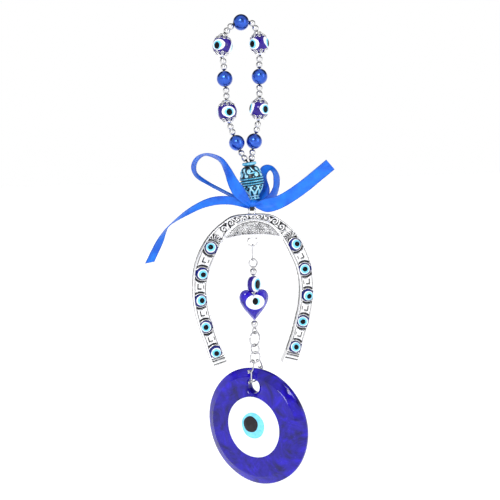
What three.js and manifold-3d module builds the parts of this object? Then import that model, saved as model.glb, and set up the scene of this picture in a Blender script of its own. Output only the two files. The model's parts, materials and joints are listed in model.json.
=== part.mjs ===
// Evil eye ornament: a beaded hanging loop, a horseshoe with ten eye beads, and a glass disc on a chain.
// Millimetres, +Z up, +X right, the front faces -Y. The origin is where a nail or hook bears,
// just under the top pearl of the loop, so the ornament hangs down along -Z.
import * as THREE from "three";
import { mergeVertices } from "three/addons/utils/BufferGeometryUtils.js";
import Module from "manifold-3d";

const wasm = await Module();
wasm.setup();

// ---------------------------------------------------------------- driving dimensions
const GAP = 0.12; // between two pieces that touch
const CORD = 0.45; // radius of the waxed cord
const BORE = 0.85; // radius of a bead's bore on the cord
const PEARL = 3.85;
const SPACER = 1.7;
const EYE_BEAD = 4.75;
const EYE_BEAD_HALF = 4.3; // half length of the glass along its bore
const CAP_END = 5.5; // from the eye bead's middle to the end of its cap
const BARREL = { top: [-0.85, -63.2], bottom: [1.35, -80.9], bore: 1.7 };
const SHOE = { front: -2.2, back: 2, half: 3.75, rim: 1.1, floor: -0.7 };
const SHOE_BEAD = 3;
const EYELET = { z: -87, hole: 1.15, outer: 2.2, half: 0.65 };
const CASTING_LOOP = { z: -102.2, radius: 2.3, wire: 0.55 };
const WIRE = 0.42; // radius of the chain's wire
const LINK_HALF = 1.2; // half width of a link, between wire centres
const LINK_LENGTH = 6.6; // of a sling link, between wire centres
const PIN = { wire: 0.4, top: -112.5, topLoop: 2, lowLoop: 1.4 };
const DISC = { radius: 29.6, half: 3.1, hole: 3.8, holeUp: 20.7, edge: 2.6 };
const DISC_TURN = THREE.MathUtils.degToRad(-45);
const EYE = { white: 15.5, iris: 6.8, pupil: 4.25 };
const RIBBON_THICK = 0.5;

const COLOURS = {
  cord: [0x111114, 0.8, 0],
  pearl: [0x2747b8, 0.25, 0.4],
  cobalt: [0x2c1a9c, 0.08, 0],
  silver: [0xd9dadb, 0.25, 1],
  turquoise: [0x2f93a8, 0.5, 0.2],
  ribbon: [0x1f5fe0, 0.45, 0],
  resin: [0x2a62c8, 0.15, 0],
  white: [0xf6f7f8, 0.12, 0],
  iris: [0x66d3ee, 0.12, 0],
  pupil: [0x3a3238, 0.15, 0],
};

// ---------------------------------------------------------------- helpers
const ornament = new THREE.Group();
const vec = (x, y, z) => new THREE.Vector3(x, y, z);
const UP = vec(0, 0, 1);

function material(name) {
  const [color, roughness, metalness] = COLOURS[name];
  return new THREE.MeshStandardMaterial({ color, roughness, metalness });
}

function add(name, geometry, colour, parent = ornament) {
  const mesh = new THREE.Mesh(geometry, material(colour));
  mesh.name = name;
  parent.add(mesh);
  return mesh;
}

// Stands a piece made along its own Z at a point, along a direction.
function place(mesh, at, along) {
  mesh.position.copy(at);
  mesh.quaternion.setFromUnitVectors(UP, along);
  return mesh;
}

function solid(geometry) {
  const bare = geometry.clone();
  bare.deleteAttribute("normal");
  bare.deleteAttribute("uv");
  const merged = mergeVertices(bare, 1e-4);
  return new wasm.Manifold(
    new wasm.Mesh({
      numProp: 3,
      vertProperties: merged.attributes.position.array,
      triVerts: new Uint32Array(merged.index.array),
    }),
  );
}

function geometryOf(manifold) {
  const mesh = manifold.getMesh();
  const geometry = new THREE.BufferGeometry();
  geometry.setAttribute(
    "position",
    new THREE.BufferAttribute(mesh.vertProperties, 3),
  );
  geometry.setIndex(new THREE.BufferAttribute(mesh.triVerts, 1));
  return geometry;
}

function join(...geometries) {
  return geometryOf(geometries.map(solid).reduce((a, b) => a.add(b)));
}

function cut(geometry, ...tools) {
  return geometryOf(tools.map(solid).reduce((a, b) => a.subtract(b), solid(geometry)));
}

// A solid of revolution about Z, from the [radius, z] points of its profile, from the top down the outside.
// A profile that doesn't start on the axis closes on itself round a bore.
function turned(profile, segments = 16) {
  const closed = profile[0][0] > 0 ? [...profile, profile[0]] : profile;
  const points = closed.map(([r, z]) => new THREE.Vector2(r, z)).reverse();
  return new THREE.LatheGeometry(points, segments).rotateX(Math.PI / 2);
}

// A ball with a bore along Z: its ends are flat where the bore comes out.
function boredBall(radius, bore, { half = Infinity, rings = 6, segments = 12 } = {}) {
  const end = Math.min(half, Math.sqrt(radius ** 2 - bore ** 2));
  const start = Math.asin(end / radius);
  const profile = half < Infinity ? [[bore, end]] : [];
  for (let i = 0; i <= rings; i += 1) {
    const angle = start - (2 * start * i) / rings;
    profile.push([radius * Math.cos(angle), radius * Math.sin(angle)]);
  }
  if (half < Infinity) profile.push([bore, -end]);
  return turned(profile, segments);
}

function cylinder(radius, length, segments = 16) {
  return new THREE.CylinderGeometry(radius, radius, length, segments).rotateX(Math.PI / 2);
}

function box(x, y, z) {
  return new THREE.BoxGeometry(x, y, z);
}

// A closed wire ring in the XZ plane, drawn out along Z by `stretch`; its axis is Y.
function wireRing(radius, wire, stretch = 0, segments = 16) {
  const ring = new THREE.TorusGeometry(radius, wire, 6, segments);
  ring.rotateZ(Math.PI / segments);
  const at = ring.attributes.position;
  for (let i = 0; i < at.count; i += 1)
    at.setY(i, at.getY(i) + (Math.sign(at.getY(i)) * stretch) / 2);
  return ring.rotateX(Math.PI / 2);
}

function round(radius, sides) {
  const shape = new THREE.Shape();
  shape.absarc(0, 0, radius, 0, 2 * Math.PI);
  return new THREE.Shape(shape.getSpacedPoints(sides).slice(0, sides));
}

function tube(points, radius, steps) {
  const path = new THREE.CatmullRomCurve3(points, false, "centripetal");
  return new THREE.ExtrudeGeometry(round(radius, 8), { steps, extrudePath: path });
}

// ---------------------------------------------------------------- the string of beads
// The cord's route from the barrel up the left strand, over the top and down the right one, as [x, z].
const ROUTE = [
  [-2.2, -62.3], [-3.5, -60.7], [-6.6, -53.6], [-9.1, -47.3], [-11.0, -38.6], [-11.2, -29.5],
  [-11.8, -23.0], [-12.2, -15.5], [-12.5, -6.7], [-10.3, -0.4], [-7.4, 2.5], [-2.8, 3.95],
  [1.6, 3.95], [3.5, 1.4], [5.4, -6.6], [5.3, -15.0], [5.3, -22.0], [5.0, -29.0],
  [4.8, -37.8], [3.6, -46.2], [1.9, -53.0], [0.75, -58.5], [0.55, -62.4],
].map(([x, z]) => vec(x, 0, z));

const SIDES = ["left", "right"];
const PITCH = { spacer: 1.56, pearl: 3.85, eye: 5.68 };
const TOUCH = 1.48; // from a spacer's middle to the other spacer of its pair, which it is joined to

// The beads in the order in which they are threaded.
function threading() {
  const strand = ["pearl_SIDE_low", "eye_SIDE_low", "pearl_SIDE_mid", "eye_SIDE_top"];
  const side = (name) =>
    strand.flatMap((bead, i) => [`spacers_${name}_${i + 1}`, bead.replace("SIDE", name)]);
  const right = [...side("right"), "spacers_right_5"].reverse();
  return [...side("left"), "spacers_left_5", "pearl_top", ...right];
}

// Walks along the route and gives each bead the point at its own distance from the one before.
function thread() {
  const curve = new THREE.CatmullRomCurve3(ROUTE, false, "centripetal");
  const fine = curve.getSpacedPoints(4000);
  const beads = threading().flatMap((name) => {
    if (!name.startsWith("spacers")) {
      const kind = name.split("_")[0];
      return [{ name, kind, before: PITCH[kind], after: PITCH[kind] }];
    }
    const outward = PITCH.spacer;
    return [
      { name, kind: "spacer", before: outward, after: TOUCH },
      { name, kind: "spacer", before: TOUCH, after: outward },
    ];
  });
  let index = 0;
  let last = fine[0];
  let reach = 0;
  for (const bead of beads) {
    reach += bead.before;
    while (index < fine.length - 1 && fine[index].distanceTo(last) < reach) index += 1;
    bead.at = fine[index].clone();
    last = bead.at;
    reach = bead.after;
  }
  beads.forEach((bead, i) => {
    const before = (beads[i - 1] ?? bead).at;
    const after = (beads[i + 1] ?? bead).at;
    bead.along = after.clone().sub(before).normalize();
  });
  return beads;
}

function cordPoints(beads) {
  const points = beads.flatMap(({ kind, at, along }) =>
    kind === "spacer"
      ? [at]
      : [-1, 0, 1].map((s) => at.clone().addScaledVector(along, s * (PITCH[kind] - 0.3))),
  );
  const [topX, topZ] = BARREL.top;
  const [lowX, lowZ] = BARREL.bottom;
  const strand = (side) => [
    vec(lowX + side * 0.55, 0, lowZ),
    vec(topX + side * 0.6, 0, topZ),
  ];
  return [CORD_KNOT, ...strand(-1), ...points, ...strand(1).reverse(), CORD_KNOT];
}

// Two silver balls side by side on the cord, bored along the cord's own curve.
function spacerPair(first, second, room) {
  const balls = [first, second].map(({ at }) =>
    new THREE.SphereGeometry(SPACER, 10, 6).translate(...at.toArray()));
  return cut(join(...balls), room);
}

// A filigree cup over the end of an eye bead; local +Z points away from the bead's middle.
function beadCap() {
  const skirt = [];
  for (const degrees of [62, 50, 38]) {
    const angle = THREE.MathUtils.degToRad(degrees);
    skirt.push([5.35 * Math.cos(angle), 5.35 * Math.sin(angle)]);
  }
  return turned(
    [[BORE, CAP_END], [1.6, CAP_END], [1.95, 5.1], ...skirt, [3.93, 3.07], [2.6, 4.45], [BORE, 4.6]],
    12,
  );
}

const CORD_KNOT = vec(1.2, 0, -81.85);
const STRUNG = thread();

function stringOfBeads() {
  const path = cordPoints(STRUNG);
  const cord = tube(path, CORD, 96);
  const room = tube(path, CORD + 0.2, 96);
  const knot = new THREE.SphereGeometry(1.05, 10, 8).translate(...CORD_KNOT.toArray());
  add("hanging_cord", join(cord, knot), "cord");
  STRUNG.forEach((bead, i) => {
    const { name, kind, at, along } = bead;
    if (kind === "pearl") place(add(name, boredBall(PEARL, BORE), "pearl"), at, along);
    if (kind === "spacer" && STRUNG[i - 1]?.name !== name)
      add(name, spacerPair(bead, STRUNG[i + 1], room), "silver");
    if (kind !== "eye") return;
    const glass = boredBall(EYE_BEAD, BORE, { half: EYE_BEAD_HALF });
    place(add(name.replace("eye", "eye_bead"), glass, "cobalt"), at, along);
    const up = along.clone().multiplyScalar(Math.sign(along.z));
    place(add(name.replace("eye", "cap_above"), beadCap(), "silver"), at, up);
    place(add(name.replace("eye", "cap_below"), beadCap(), "silver"), at, up.clone().negate());
  });
}

// The relief-carved barrel bead that both strands run through.
function barrelBead() {
  const top = vec(BARREL.top[0], 0, BARREL.top[1]);
  const bottom = vec(BARREL.bottom[0], 0, BARREL.bottom[1]);
  const half = top.distanceTo(bottom) / 2;
  const profile = [
    [BARREL.bore, half], [3.1, half], [3.35, half - 0.8], [3.0, half - 1.7], [4.3, half - 3.2],
    [5.5, half - 6.2], [5.95, half - 8.2], [5.5, half - 8.8], [5.95, half - 9.5], [5.5, half - 10.2],
    [5.7, half - 11], [4.9, half - 13], [3.3, half - 15.4], [2.3, half - 16.4], [2.5, -half],
    [BARREL.bore, -half],
  ];
  const along = top.clone().sub(bottom).normalize();
  const middle = top.clone().add(bottom).multiplyScalar(0.5);
  place(add("barrel_bead", turned(profile, 18), "turquoise"), middle, along);
}

// ---------------------------------------------------------------- the ribbon bow
// Each strip is a row of stations: one edge's x, y, z and then the other edge's.
const LEFT_LOOP = [
  [-1.0, -5.6, -82.6, -2.0, -4.6, -85.6], [-5.0, -9.0, -75.6, -9.4, -8.2, -79.6],
  [-8.6, -9.6, -70.6, -12.2, -6.4, -73.8], [-11.9, -9.2, -65.0, -13.7, -4.2, -67.6],
  [-15.8, -8.2, -60.3, -16.1, -2.2, -61.9], [-22.2, -7.2, -58.2, -22.0, -1.0, -59.2],
  [-27.4, -6.4, -59.8, -25.6, -0.4, -61.4], [-29.8, -5.8, -64.4, -26.9, -0.2, -65.0],
  [-27.8, -5.4, -69.4, -25.9, 0.5, -68.2], [-21.9, -5.2, -73.4, -21.0, 0.9, -72.0],
  [-14.0, -5.4, -77.7, -13.2, 0.6, -76.2], [-2.4, -4.4, -84.6, -2.4, -0.4, -82.6],
];
const LEFT_TAIL = [
  [-1.6, -4.4, -82.8, -2.4, -4.0, -85.8], [-9.0, -6.6, -79.6, -10.6, -5.4, -83.2],
  [-14.7, -7.6, -78.7, -17.2, -5.6, -82.8], [-21.2, -8.4, -79.2, -23.9, -6.0, -84.0],
  [-27.6, -9.0, -81.6, -30.3, -5.6, -86.4], [-33.9, -9.4, -85.2, -36.6, -5.2, -89.4],
  [-39.7, -9.6, -90.0, -41.2, -4.2, -92.6], [-44.4, -9.0, -94.6, -42.9, -3.4, -96.0],
  [-48.4, -8.2, -100.0, -44.4, -4.2, -99.8], [-53.4, -7.4, -109.6, -48.9, -5.0, -109.2],
];
const RIGHT_LOOP = [
  [1.9, 1.6, -82.8, 2.4, -2.4, -85.2], [5.9, 4.6, -75.4, 8.9, 0.4, -78.4],
  [5.6, 6.4, -67.4, 7.9, 1.2, -70.4], [8.4, 6.4, -64.6, 9.4, 0.8, -67.2],
  [12.4, 5.8, -65.6, 10.9, 0.2, -68.8], [14.9, 4.4, -70.2, 11.1, -0.4, -72.2],
  [14.3, 2.6, -76.2, 10.5, -1.6, -75.6], [10.9, 0.2, -81.8, 7.6, -3.4, -79.2],
  [1.8, -3.4, -85.4, 1.9, -3.0, -82.6],
];
const RIGHT_TAIL = [
  [1.2, -5.2, -82.4, 1.2, -4.6, -85.6], [5.6, -6.8, -80.6, 6.2, -7.2, -87.2],
  [10.6, -7.4, -79.6, 12.4, -8.2, -85.8], [16.6, -7.8, -76.6, 19.6, -7.8, -82.2],
  [24.2, -7.6, -71.6, 27.8, -7.2, -76.9], [30.6, -7.4, -66.8, 34.8, -6.9, -71.6],
  [36.0, -7.4, -62.6, 40.2, -7.0, -67.4],
];
const BOW_KNOT = { at: [0.4, -1.4, -82.8], size: [6, 8, 2.6], bore: 2.35 };

// A strip of ribbon with a real thickness, between two smooth edges.
function ribbonStrip(stations, steps) {
  const edge = (start) =>
    new THREE.CatmullRomCurve3(stations.map((s) => vec(...s.slice(start, start + 3)))).getPoints(steps);
  const one = edge(0);
  const other = edge(3);
  const positions = [];
  for (let i = 0; i <= steps; i += 1) {
    const ahead = one[Math.min(i + 1, steps)].clone().sub(one[Math.max(i - 1, 0)]);
    const across = other[i].clone().sub(one[i]);
    const lift = across.cross(ahead).normalize().multiplyScalar(RIBBON_THICK / 2);
    for (const [corner, side] of [[one, 1], [other, 1], [other, -1], [one, -1]])
      positions.push(...corner[i].clone().addScaledVector(lift, side).toArray());
  }
  const index = [];
  for (let i = 0; i < steps; i += 1)
    for (let k = 0; k < 4; k += 1) {
      const a = 4 * i + k;
      const b = 4 * i + ((k + 1) % 4);
      index.push(a, b, b + 4, a, b + 4, a + 4);
    }
  const end = 4 * steps;
  index.push(0, 3, 2, 0, 2, 1, end, end + 1, end + 2, end, end + 2, end + 3);
  const geometry = new THREE.BufferGeometry();
  geometry.setAttribute("position", new THREE.Float32BufferAttribute(positions, 3));
  return geometry.setIndex(index);
}

function ribbonBow() {
  const knot = box(...BOW_KNOT.size).translate(...BOW_KNOT.at);
  const strips = [LEFT_LOOP, LEFT_TAIL, RIGHT_LOOP, RIGHT_TAIL];
  const bow = join(knot, ...strips.map((stations) => ribbonStrip(stations, 2 * stations.length)));
  const hole = cylinder(BOW_KNOT.bore, 8).translate(BOW_KNOT.at[0], 0, BOW_KNOT.at[2]);
  add("ribbon_bow", cut(bow, hole), "ribbon");
}

// ---------------------------------------------------------------- the horseshoe
const BEAD_SPOTS = [[20.9, -104.05], [25.65, -116.5], [26.9, -129.6], [24.4, -142.7], [20.1, -155.5]];
const HALF_SHOE = [
  [0, -91.4], [12.9, -94.7], [21.1, -103.9], [25.8, -116.6], [26.7, -129.6], [24.4, -142.7],
  [20.2, -155.4], [16.6, -163.2],
];

function shoePath() {
  const right = HALF_SHOE.map(([x, z]) => vec(x, z, 0));
  const left = HALF_SHOE.slice(1).reverse().map(([x, z]) => vec(-x, z, 0));
  return new THREE.CatmullRomCurve3([...left, ...right], false, "centripetal");
}

// A band that follows the horseshoe between two offsets from its middle line, from one depth to another.
function shoeBand(inner, outer, front, back, steps = 34) {
  const path = shoePath();
  const side = (offset) => {
    const points = [];
    for (let i = 0; i <= steps; i += 1) {
      const at = path.getPointAt(i / steps);
      const along = path.getTangentAt(i / steps);
      points.push(new THREE.Vector2(at.x - along.y * offset, at.y + along.x * offset));
    }
    return points;
  };
  return slab(new THREE.Shape([...side(outer), ...side(inner).reverse()]), front, back);
}

// A flat shape in X and Z, made solid between two depths in Y.
function slab(shape, front, back, curveSegments = 12) {
  return new THREE.ExtrudeGeometry(shape, { depth: back - front, bevelEnabled: false, curveSegments })
    .rotateX(Math.PI / 2)
    .translate(0, back, 0);
}

// The crescent that fills the top of the horseshoe, between two arcs through its tips.
function crescent(tipX, tipZ, topZ, lowZ, front, back) {
  const points = [];
  for (const [peak, way] of [[topZ, 1], [lowZ, -1]]) {
    const rise = peak - tipZ;
    const radius = (tipX ** 2 + rise ** 2) / (2 * rise);
    const spread = Math.asin(tipX / radius);
    for (let i = 0; i < 14; i += 1) {
      const angle = way * spread * (2 * (i / 14) - 1);
      points.push(new THREE.Vector2(radius * Math.sin(angle), peak - radius * (1 - Math.cos(angle))));
    }
  }
  return slab(new THREE.Shape(points), front, back);
}

function horseshoe() {
  const { front, back, half, rim, floor } = SHOE;
  const rims = [[-half, -half + rim], [half - rim, half]].map(([a, b]) => shoeBand(a, b, front, back));
  const plate = shoeBand(-half + rim / 2, half - rim / 2, floor, back);
  const moon = crescent(15.2, -102.2, -91.2, -99.9, front, back);
  const eyelet = cylinder(EYELET.outer, 2 * EYELET.half, 18).rotateX(Math.PI / 2).translate(0, 0, EYELET.z);
  const { z, radius, wire } = CASTING_LOOP;
  const loop = wireRing(radius, wire).translate(0, 0, z);
  const bridges = BEAD_SPOTS.slice(1).flatMap(([x, z], i) => {
    const [fromX, fromZ] = BEAD_SPOTS[i];
    const lean = Math.atan2(x - fromX, fromZ - z);
    return [-1, 1].map((side) =>
      box(4.6, -front, 3.4)
        .rotateY(-side * lean)
        .translate((side * (x + fromX)) / 2, front / 2 + 0.4, (z + fromZ) / 2),
    );
  });
  const feet = [-1, 1].map((side) =>
    box(8.2, back - front, 2.6).rotateY(side * 0.42).translate(side * 16.95, (front + back) / 2, -162.6));
  const body = join(plate, ...rims, moon, eyelet, loop, ...bridges, ...feet);
  const pockets = BEAD_SPOTS.flatMap(([x, z]) =>
    [-1, 1].map((side) => cylinder(SHOE_BEAD + 0.2, 4).rotateX(Math.PI / 2).translate(side * x, -1.2, z)));
  const hole = cylinder(EYELET.hole, 4).rotateX(Math.PI / 2).translate(0, 0, EYELET.z);
  add("horseshoe", cut(body, ...pockets, hole), "silver");
}

// The resin eye beads, set in the horseshoe's pockets with their domes to the front.
function shoeBeads() {
  const dome = [];
  for (const degrees of [0, 22, 45, 68]) {
    const angle = THREE.MathUtils.degToRad(degrees);
    dome.push([SHOE_BEAD * Math.cos(angle), -SHOE_BEAD * Math.sin(angle)]);
  }
  BEAD_SPOTS.forEach(([x, z], i) => {
    for (const name of SIDES) {
      const profile = [[0, 1.85], [2.4, 1.85], ...dome, [0, -SHOE_BEAD]];
      const points = profile.reverse().map(([r, y]) => new THREE.Vector2(r, y));
      const bead = add(`shoe_eye_${name}_${i + 1}`, new THREE.LatheGeometry(points, 12), "resin");
      bead.position.set(name === "left" ? -x : x, -1.2, z);
    }
  });
}

const TIE_RADIUS = 1.55;

// The cord's last turn, through the horseshoe's eyelet.
function cordTie() {
  const middle = EYELET.z + EYELET.hole - CORD - 2 * GAP + TIE_RADIUS;
  const loop = wireRing(TIE_RADIUS, CORD).rotateZ(Math.PI / 2).translate(0, 0, middle);
  const knot = new THREE.SphereGeometry(0.8, 10, 8).translate(0.3, 0, middle + TIE_RADIUS - 0.1);
  add("cord_tie", join(loop, knot), "cord");
}

// ---------------------------------------------------------------- the pendant on its pin
function heartShape(width, height, cleft) {
  const [w, top, tip] = [width / 2, height / 2, -height / 2];
  const shape = new THREE.Shape();
  shape.moveTo(0, tip);
  shape.bezierCurveTo(w * 0.3, tip * 0.72, w, tip * 0.2, w, top * 0.4);
  shape.bezierCurveTo(w, top * 0.85, w * 0.85, top, w * 0.66, top);
  shape.bezierCurveTo(w * 0.48, top, w * 0.2, top - cleft * 0.5, 0, top - cleft);
  shape.bezierCurveTo(-w * 0.2, top - cleft * 0.5, -w * 0.48, top, -w * 0.66, top);
  shape.bezierCurveTo(-w * 0.85, top, -w, top * 0.85, -w, top * 0.4);
  shape.bezierCurveTo(-w, tip * 0.2, -w * 0.3, tip * 0.72, 0, tip);
  return shape;
}

const BALLS = { radius: 1.85, top: -116.9, bottom: -143.1 };
const FLAT_BEAD = {
  z: -123.05,
  turn: THREE.MathUtils.degToRad(48),
  profile: [[0, 2.1], [2.4, 2.1], [3.7, 1.5], [4.15, 0.6]],
};
const HEART = { z: -133.2, width: 14.7, height: 15, cleft: 3.4, thick: 5.4, bevel: 1.2 };

function pendant() {
  const bottomLoop = -146.6;
  const { wire, top, topLoop, lowLoop } = PIN;
  const stem = cylinder(wire, top - topLoop - (bottomLoop + lowLoop), 8)
    .translate(0, 0, (top - topLoop + bottomLoop + lowLoop) / 2);
  const upper = wireRing(topLoop, wire).translate(0, 0, top);
  const lower = wireRing(lowLoop, wire).rotateZ(THREE.MathUtils.degToRad(-52)).translate(0, 0, bottomLoop);
  add("eye_pin", join(stem, upper, lower), "silver");

  const bore = wire + 0.2;
  const ball = () => boredBall(BALLS.radius, bore);
  add("pin_ball_top", ball(), "silver").position.z = BALLS.top;
  add("pin_ball_bottom", ball(), "silver").position.z = BALLS.bottom;

  const half = FLAT_BEAD.profile;
  const lens = turned([...half, ...half.map(([r, y]) => [r, -y]).reverse()], 18);
  const flat = add("flat_eye_bead", cut(lens.rotateX(Math.PI / 2), cylinder(bore, 12, 10)), "cobalt");
  flat.position.z = FLAT_BEAD.z;
  flat.rotation.z = FLAT_BEAD.turn;

  const { z, width, height, cleft, thick, bevel } = HEART;
  const heart = new THREE.ExtrudeGeometry(heartShape(width - 2 * bevel, height - 2 * bevel, cleft), {
    depth: thick - 2 * bevel,
    bevelThickness: bevel,
    bevelSize: bevel,
    bevelSegments: 3,
    curveSegments: 4,
  }).translate(0, 0, bevel - thick / 2).rotateX(Math.PI / 2);
  add("heart_bead", cut(heart, cylinder(bore, 20, 10)), "cobalt").position.z = z;
  return bottomLoop - lowLoop;
}

function topLink() {
  const high = CASTING_LOOP.z - CASTING_LOOP.radius + CASTING_LOOP.wire + WIRE + GAP;
  const low = PIN.top + PIN.topLoop - PIN.wire - WIRE - GAP;
  const stretch = high - low - 2 * LINK_HALF;
  const link = add("top_link", wireRing(LINK_HALF, WIRE, stretch, 14), "silver");
  link.rotation.z = Math.PI / 2;
  link.position.z = (high + low) / 2;
}

// ---------------------------------------------------------------- rings, sling and disc
const RINGS = [
  { name: "jump_ring_large", radius: 3.65, wire: 0.5, turn: 38 },
  { name: "jump_ring_middle", radius: 2.4, wire: WIRE, turn: -45 },
  { name: "jump_ring_sling", radius: 2.8, wire: WIRE, turn: 20 },
];
const STEP = 2 * WIRE + GAP; // between the wire centres of two links that touch
const SLING_HOLD = 1.83; // from the ring's middle to where the sling's links hold it
const SLING_OUT = 4.9; // from the disc's middle plane to the links that lie along its faces

// The three jump rings, each hanging in the one above; gives back the last one's middle.
function jumpRings(pinLow) {
  let above = pinLow;
  let aboveWire = PIN.wire;
  let middle = 0;
  for (const { name, radius, wire, turn } of RINGS) {
    middle = above + aboveWire + wire + GAP - radius;
    const ring = add(name, wireRing(radius, wire), "silver");
    ring.rotation.z = THREE.MathUtils.degToRad(turn);
    ring.position.z = middle;
    above = middle - radius;
    aboveWire = wire;
  }
  return middle;
}

// Puts a sling link with its low end at a point, leaning along a direction, its width along X.
function slingLink(name, group, low, along) {
  const link = add(name, wireRing(LINK_HALF, WIRE, LINK_LENGTH - 2 * LINK_HALF, 14), "silver", group);
  const across = vec(1, 0, 0).addScaledVector(along, -along.x).normalize();
  const basis = new THREE.Matrix4().makeBasis(across, along.clone().cross(across), along);
  link.quaternion.setFromRotationMatrix(basis);
  link.position.copy(low).addScaledVector(along, LINK_LENGTH / 2);
  return link;
}

// The five links that run from the last ring down both faces of the disc and through its hole.
// Gives back the height of the link in the hole. The group's front is the disc's front.
function sling(group, ringMiddle) {
  const ring = RINGS[2];
  const lean = THREE.MathUtils.degToRad(ring.turn) - DISC_TURN;
  const hold = vec(-SLING_HOLD * Math.cos(lean), -SLING_HOLD * Math.sin(lean), 0);
  hold.z = ringMiddle - Math.sqrt(ring.radius ** 2 - SLING_HOLD ** 2);
  const reach = LINK_LENGTH - STEP;
  const flat = Math.hypot(hold.x, hold.y + SLING_OUT);
  const low = vec(0, -SLING_OUT, hold.z - Math.sqrt(reach ** 2 - flat ** 2));
  const along = hold.clone().sub(low).normalize();
  const through = low.z + 2 * STEP - LINK_LENGTH;
  for (const [side, half] of [["front", group], ["back", new THREE.Group()]]) {
    if (half !== group) {
      half.rotation.z = Math.PI;
      group.add(half);
    }
    slingLink(`sling_link_${side}_high`, half, low, along);
    const face = vec(0, -SLING_OUT, through - STEP);
    slingLink(`sling_link_${side}_low`, half, face, UP.clone()).rotateZ(Math.PI / 2);
  }
  const crossing = wireRing(LINK_HALF, WIRE, 2 * (SLING_OUT - LINK_HALF), 14).rotateX(Math.PI / 2);
  add("sling_link_through", crossing, "silver", group).position.z = through;
  return through;
}

// A disc of glass facing -Y, from its front depth to its back depth.
function puck(radius, front, back, segments = 32) {
  return cylinder(radius, back - front, segments).rotateX(Math.PI / 2).translate(0, (front + back) / 2, 0);
}

function glassDisc(group, through) {
  const { radius, half, hole, holeUp, edge } = DISC;
  const rim = [];
  for (let degrees = 90; degrees >= -90; degrees -= 30) {
    const angle = THREE.MathUtils.degToRad(degrees);
    rim.push([radius - edge + edge * Math.cos(angle), half * Math.sin(angle)]);
  }
  const blank = turned([[0, half], ...rim, [0, -half]], 48).rotateX(-Math.PI / 2);
  const bore = puck(hole, -2 * half, 2 * half, 20).translate(0, 0, holeUp);
  const seat = puck(EYE.white + 0.15, -2 * half, -half + 0.8);
  const rest = hole - WIRE - 2 * GAP;
  const at = vec(0, 0, through - Math.sqrt(rest ** 2 - LINK_HALF ** 2) - holeUp);
  const layers = [
    ["glass_disc", cut(blank, bore, seat), "cobalt"],
    ["disc_eye_white", puck(EYE.white, -half - 0.2, -half + 0.68), "white"],
    ["disc_eye_iris", puck(EYE.iris, -half - 0.6, -half - 0.32, 24), "iris"],
    ["disc_eye_pupil", puck(EYE.pupil, -half - 1.0, -half - 0.72, 20).translate(-1.1, 0, 0.6), "pupil"],
  ];
  for (const [name, geometry, colour] of layers) add(name, geometry, colour, group).position.copy(at);
}

function slungDisc(ringMiddle) {
  const group = new THREE.Group();
  group.rotation.z = DISC_TURN;
  ornament.add(group);
  glassDisc(group, sling(group, ringMiddle));
}

stringOfBeads();
barrelBead();
ribbonBow();
horseshoe();
shoeBeads();
cordTie();
topLink();
slungDisc(jumpRings(pendant()));

export default ornament;
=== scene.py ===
"""Evil eye ornament: beads on a cord, a ribbon bow, a horseshoe, a heart pendant and a glass disc."""
import json
import math
import random

import bpy
import numpy as np
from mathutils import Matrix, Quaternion, Vector


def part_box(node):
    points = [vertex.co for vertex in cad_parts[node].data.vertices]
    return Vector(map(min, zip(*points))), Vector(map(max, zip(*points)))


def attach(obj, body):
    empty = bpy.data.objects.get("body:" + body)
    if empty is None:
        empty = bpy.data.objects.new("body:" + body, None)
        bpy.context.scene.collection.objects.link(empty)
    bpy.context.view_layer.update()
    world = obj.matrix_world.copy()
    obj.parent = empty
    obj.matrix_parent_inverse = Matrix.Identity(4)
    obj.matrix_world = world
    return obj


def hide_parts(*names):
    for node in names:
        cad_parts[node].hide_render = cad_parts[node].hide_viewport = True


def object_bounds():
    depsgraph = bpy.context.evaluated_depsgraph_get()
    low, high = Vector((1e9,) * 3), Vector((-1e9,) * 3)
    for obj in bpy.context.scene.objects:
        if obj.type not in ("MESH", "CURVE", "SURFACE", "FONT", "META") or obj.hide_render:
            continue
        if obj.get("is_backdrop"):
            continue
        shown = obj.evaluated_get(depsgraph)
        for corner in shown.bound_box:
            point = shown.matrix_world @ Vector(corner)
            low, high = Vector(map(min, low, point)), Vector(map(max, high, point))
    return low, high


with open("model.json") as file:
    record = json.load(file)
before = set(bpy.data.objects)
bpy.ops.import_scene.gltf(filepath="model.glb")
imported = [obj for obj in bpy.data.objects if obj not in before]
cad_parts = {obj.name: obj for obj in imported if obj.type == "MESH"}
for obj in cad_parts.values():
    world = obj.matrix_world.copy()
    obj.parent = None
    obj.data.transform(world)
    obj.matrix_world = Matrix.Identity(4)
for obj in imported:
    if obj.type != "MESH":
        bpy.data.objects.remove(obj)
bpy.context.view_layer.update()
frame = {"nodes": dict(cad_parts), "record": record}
JOINTS = {j["name"]: j for j in frame["record"]["behaviour"]["joints"]}
MM = 0.001
RNG = random.Random(7)
UP = np.array([0.0, 0.0, 1.0])
FRONT = np.array([0.0, -1.0, 0.0])


# ---- camera
def add_camera():
    """The camera stands a little to the ornament's left and above its middle."""
    turn, rise, roll = math.radians(-10.2), math.radians(5.94), math.radians(-1.34)
    target = Vector((-0.0014, 0, -0.106))
    back = Vector((math.sin(turn) * math.cos(rise), -math.cos(turn) * math.cos(rise), math.sin(rise)))
    data = bpy.data.cameras.new("camera")
    data.lens = 65.8
    data.sensor_width = 36
    data.clip_start = 0.01
    data.clip_end = 20
    camera = bpy.data.objects.new("camera", data)
    bpy.context.collection.objects.link(camera)
    camera.location = target + 0.45 * back
    camera.rotation_mode = "QUATERNION"
    camera.rotation_quaternion = Quaternion(back, roll) @ back.to_track_quat("Z", "Y")
    bpy.context.scene.camera = camera


add_camera()


# ---- mesh helpers
def unit(v):
    v = np.asarray(v, float)
    return v / np.linalg.norm(v)


def centre(node):
    low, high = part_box(node)
    return (np.array(low) + np.array(high)) / 2


def nodes_named(prefix):
    return [name for name in frame["nodes"] if name.startswith(prefix)]


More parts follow.
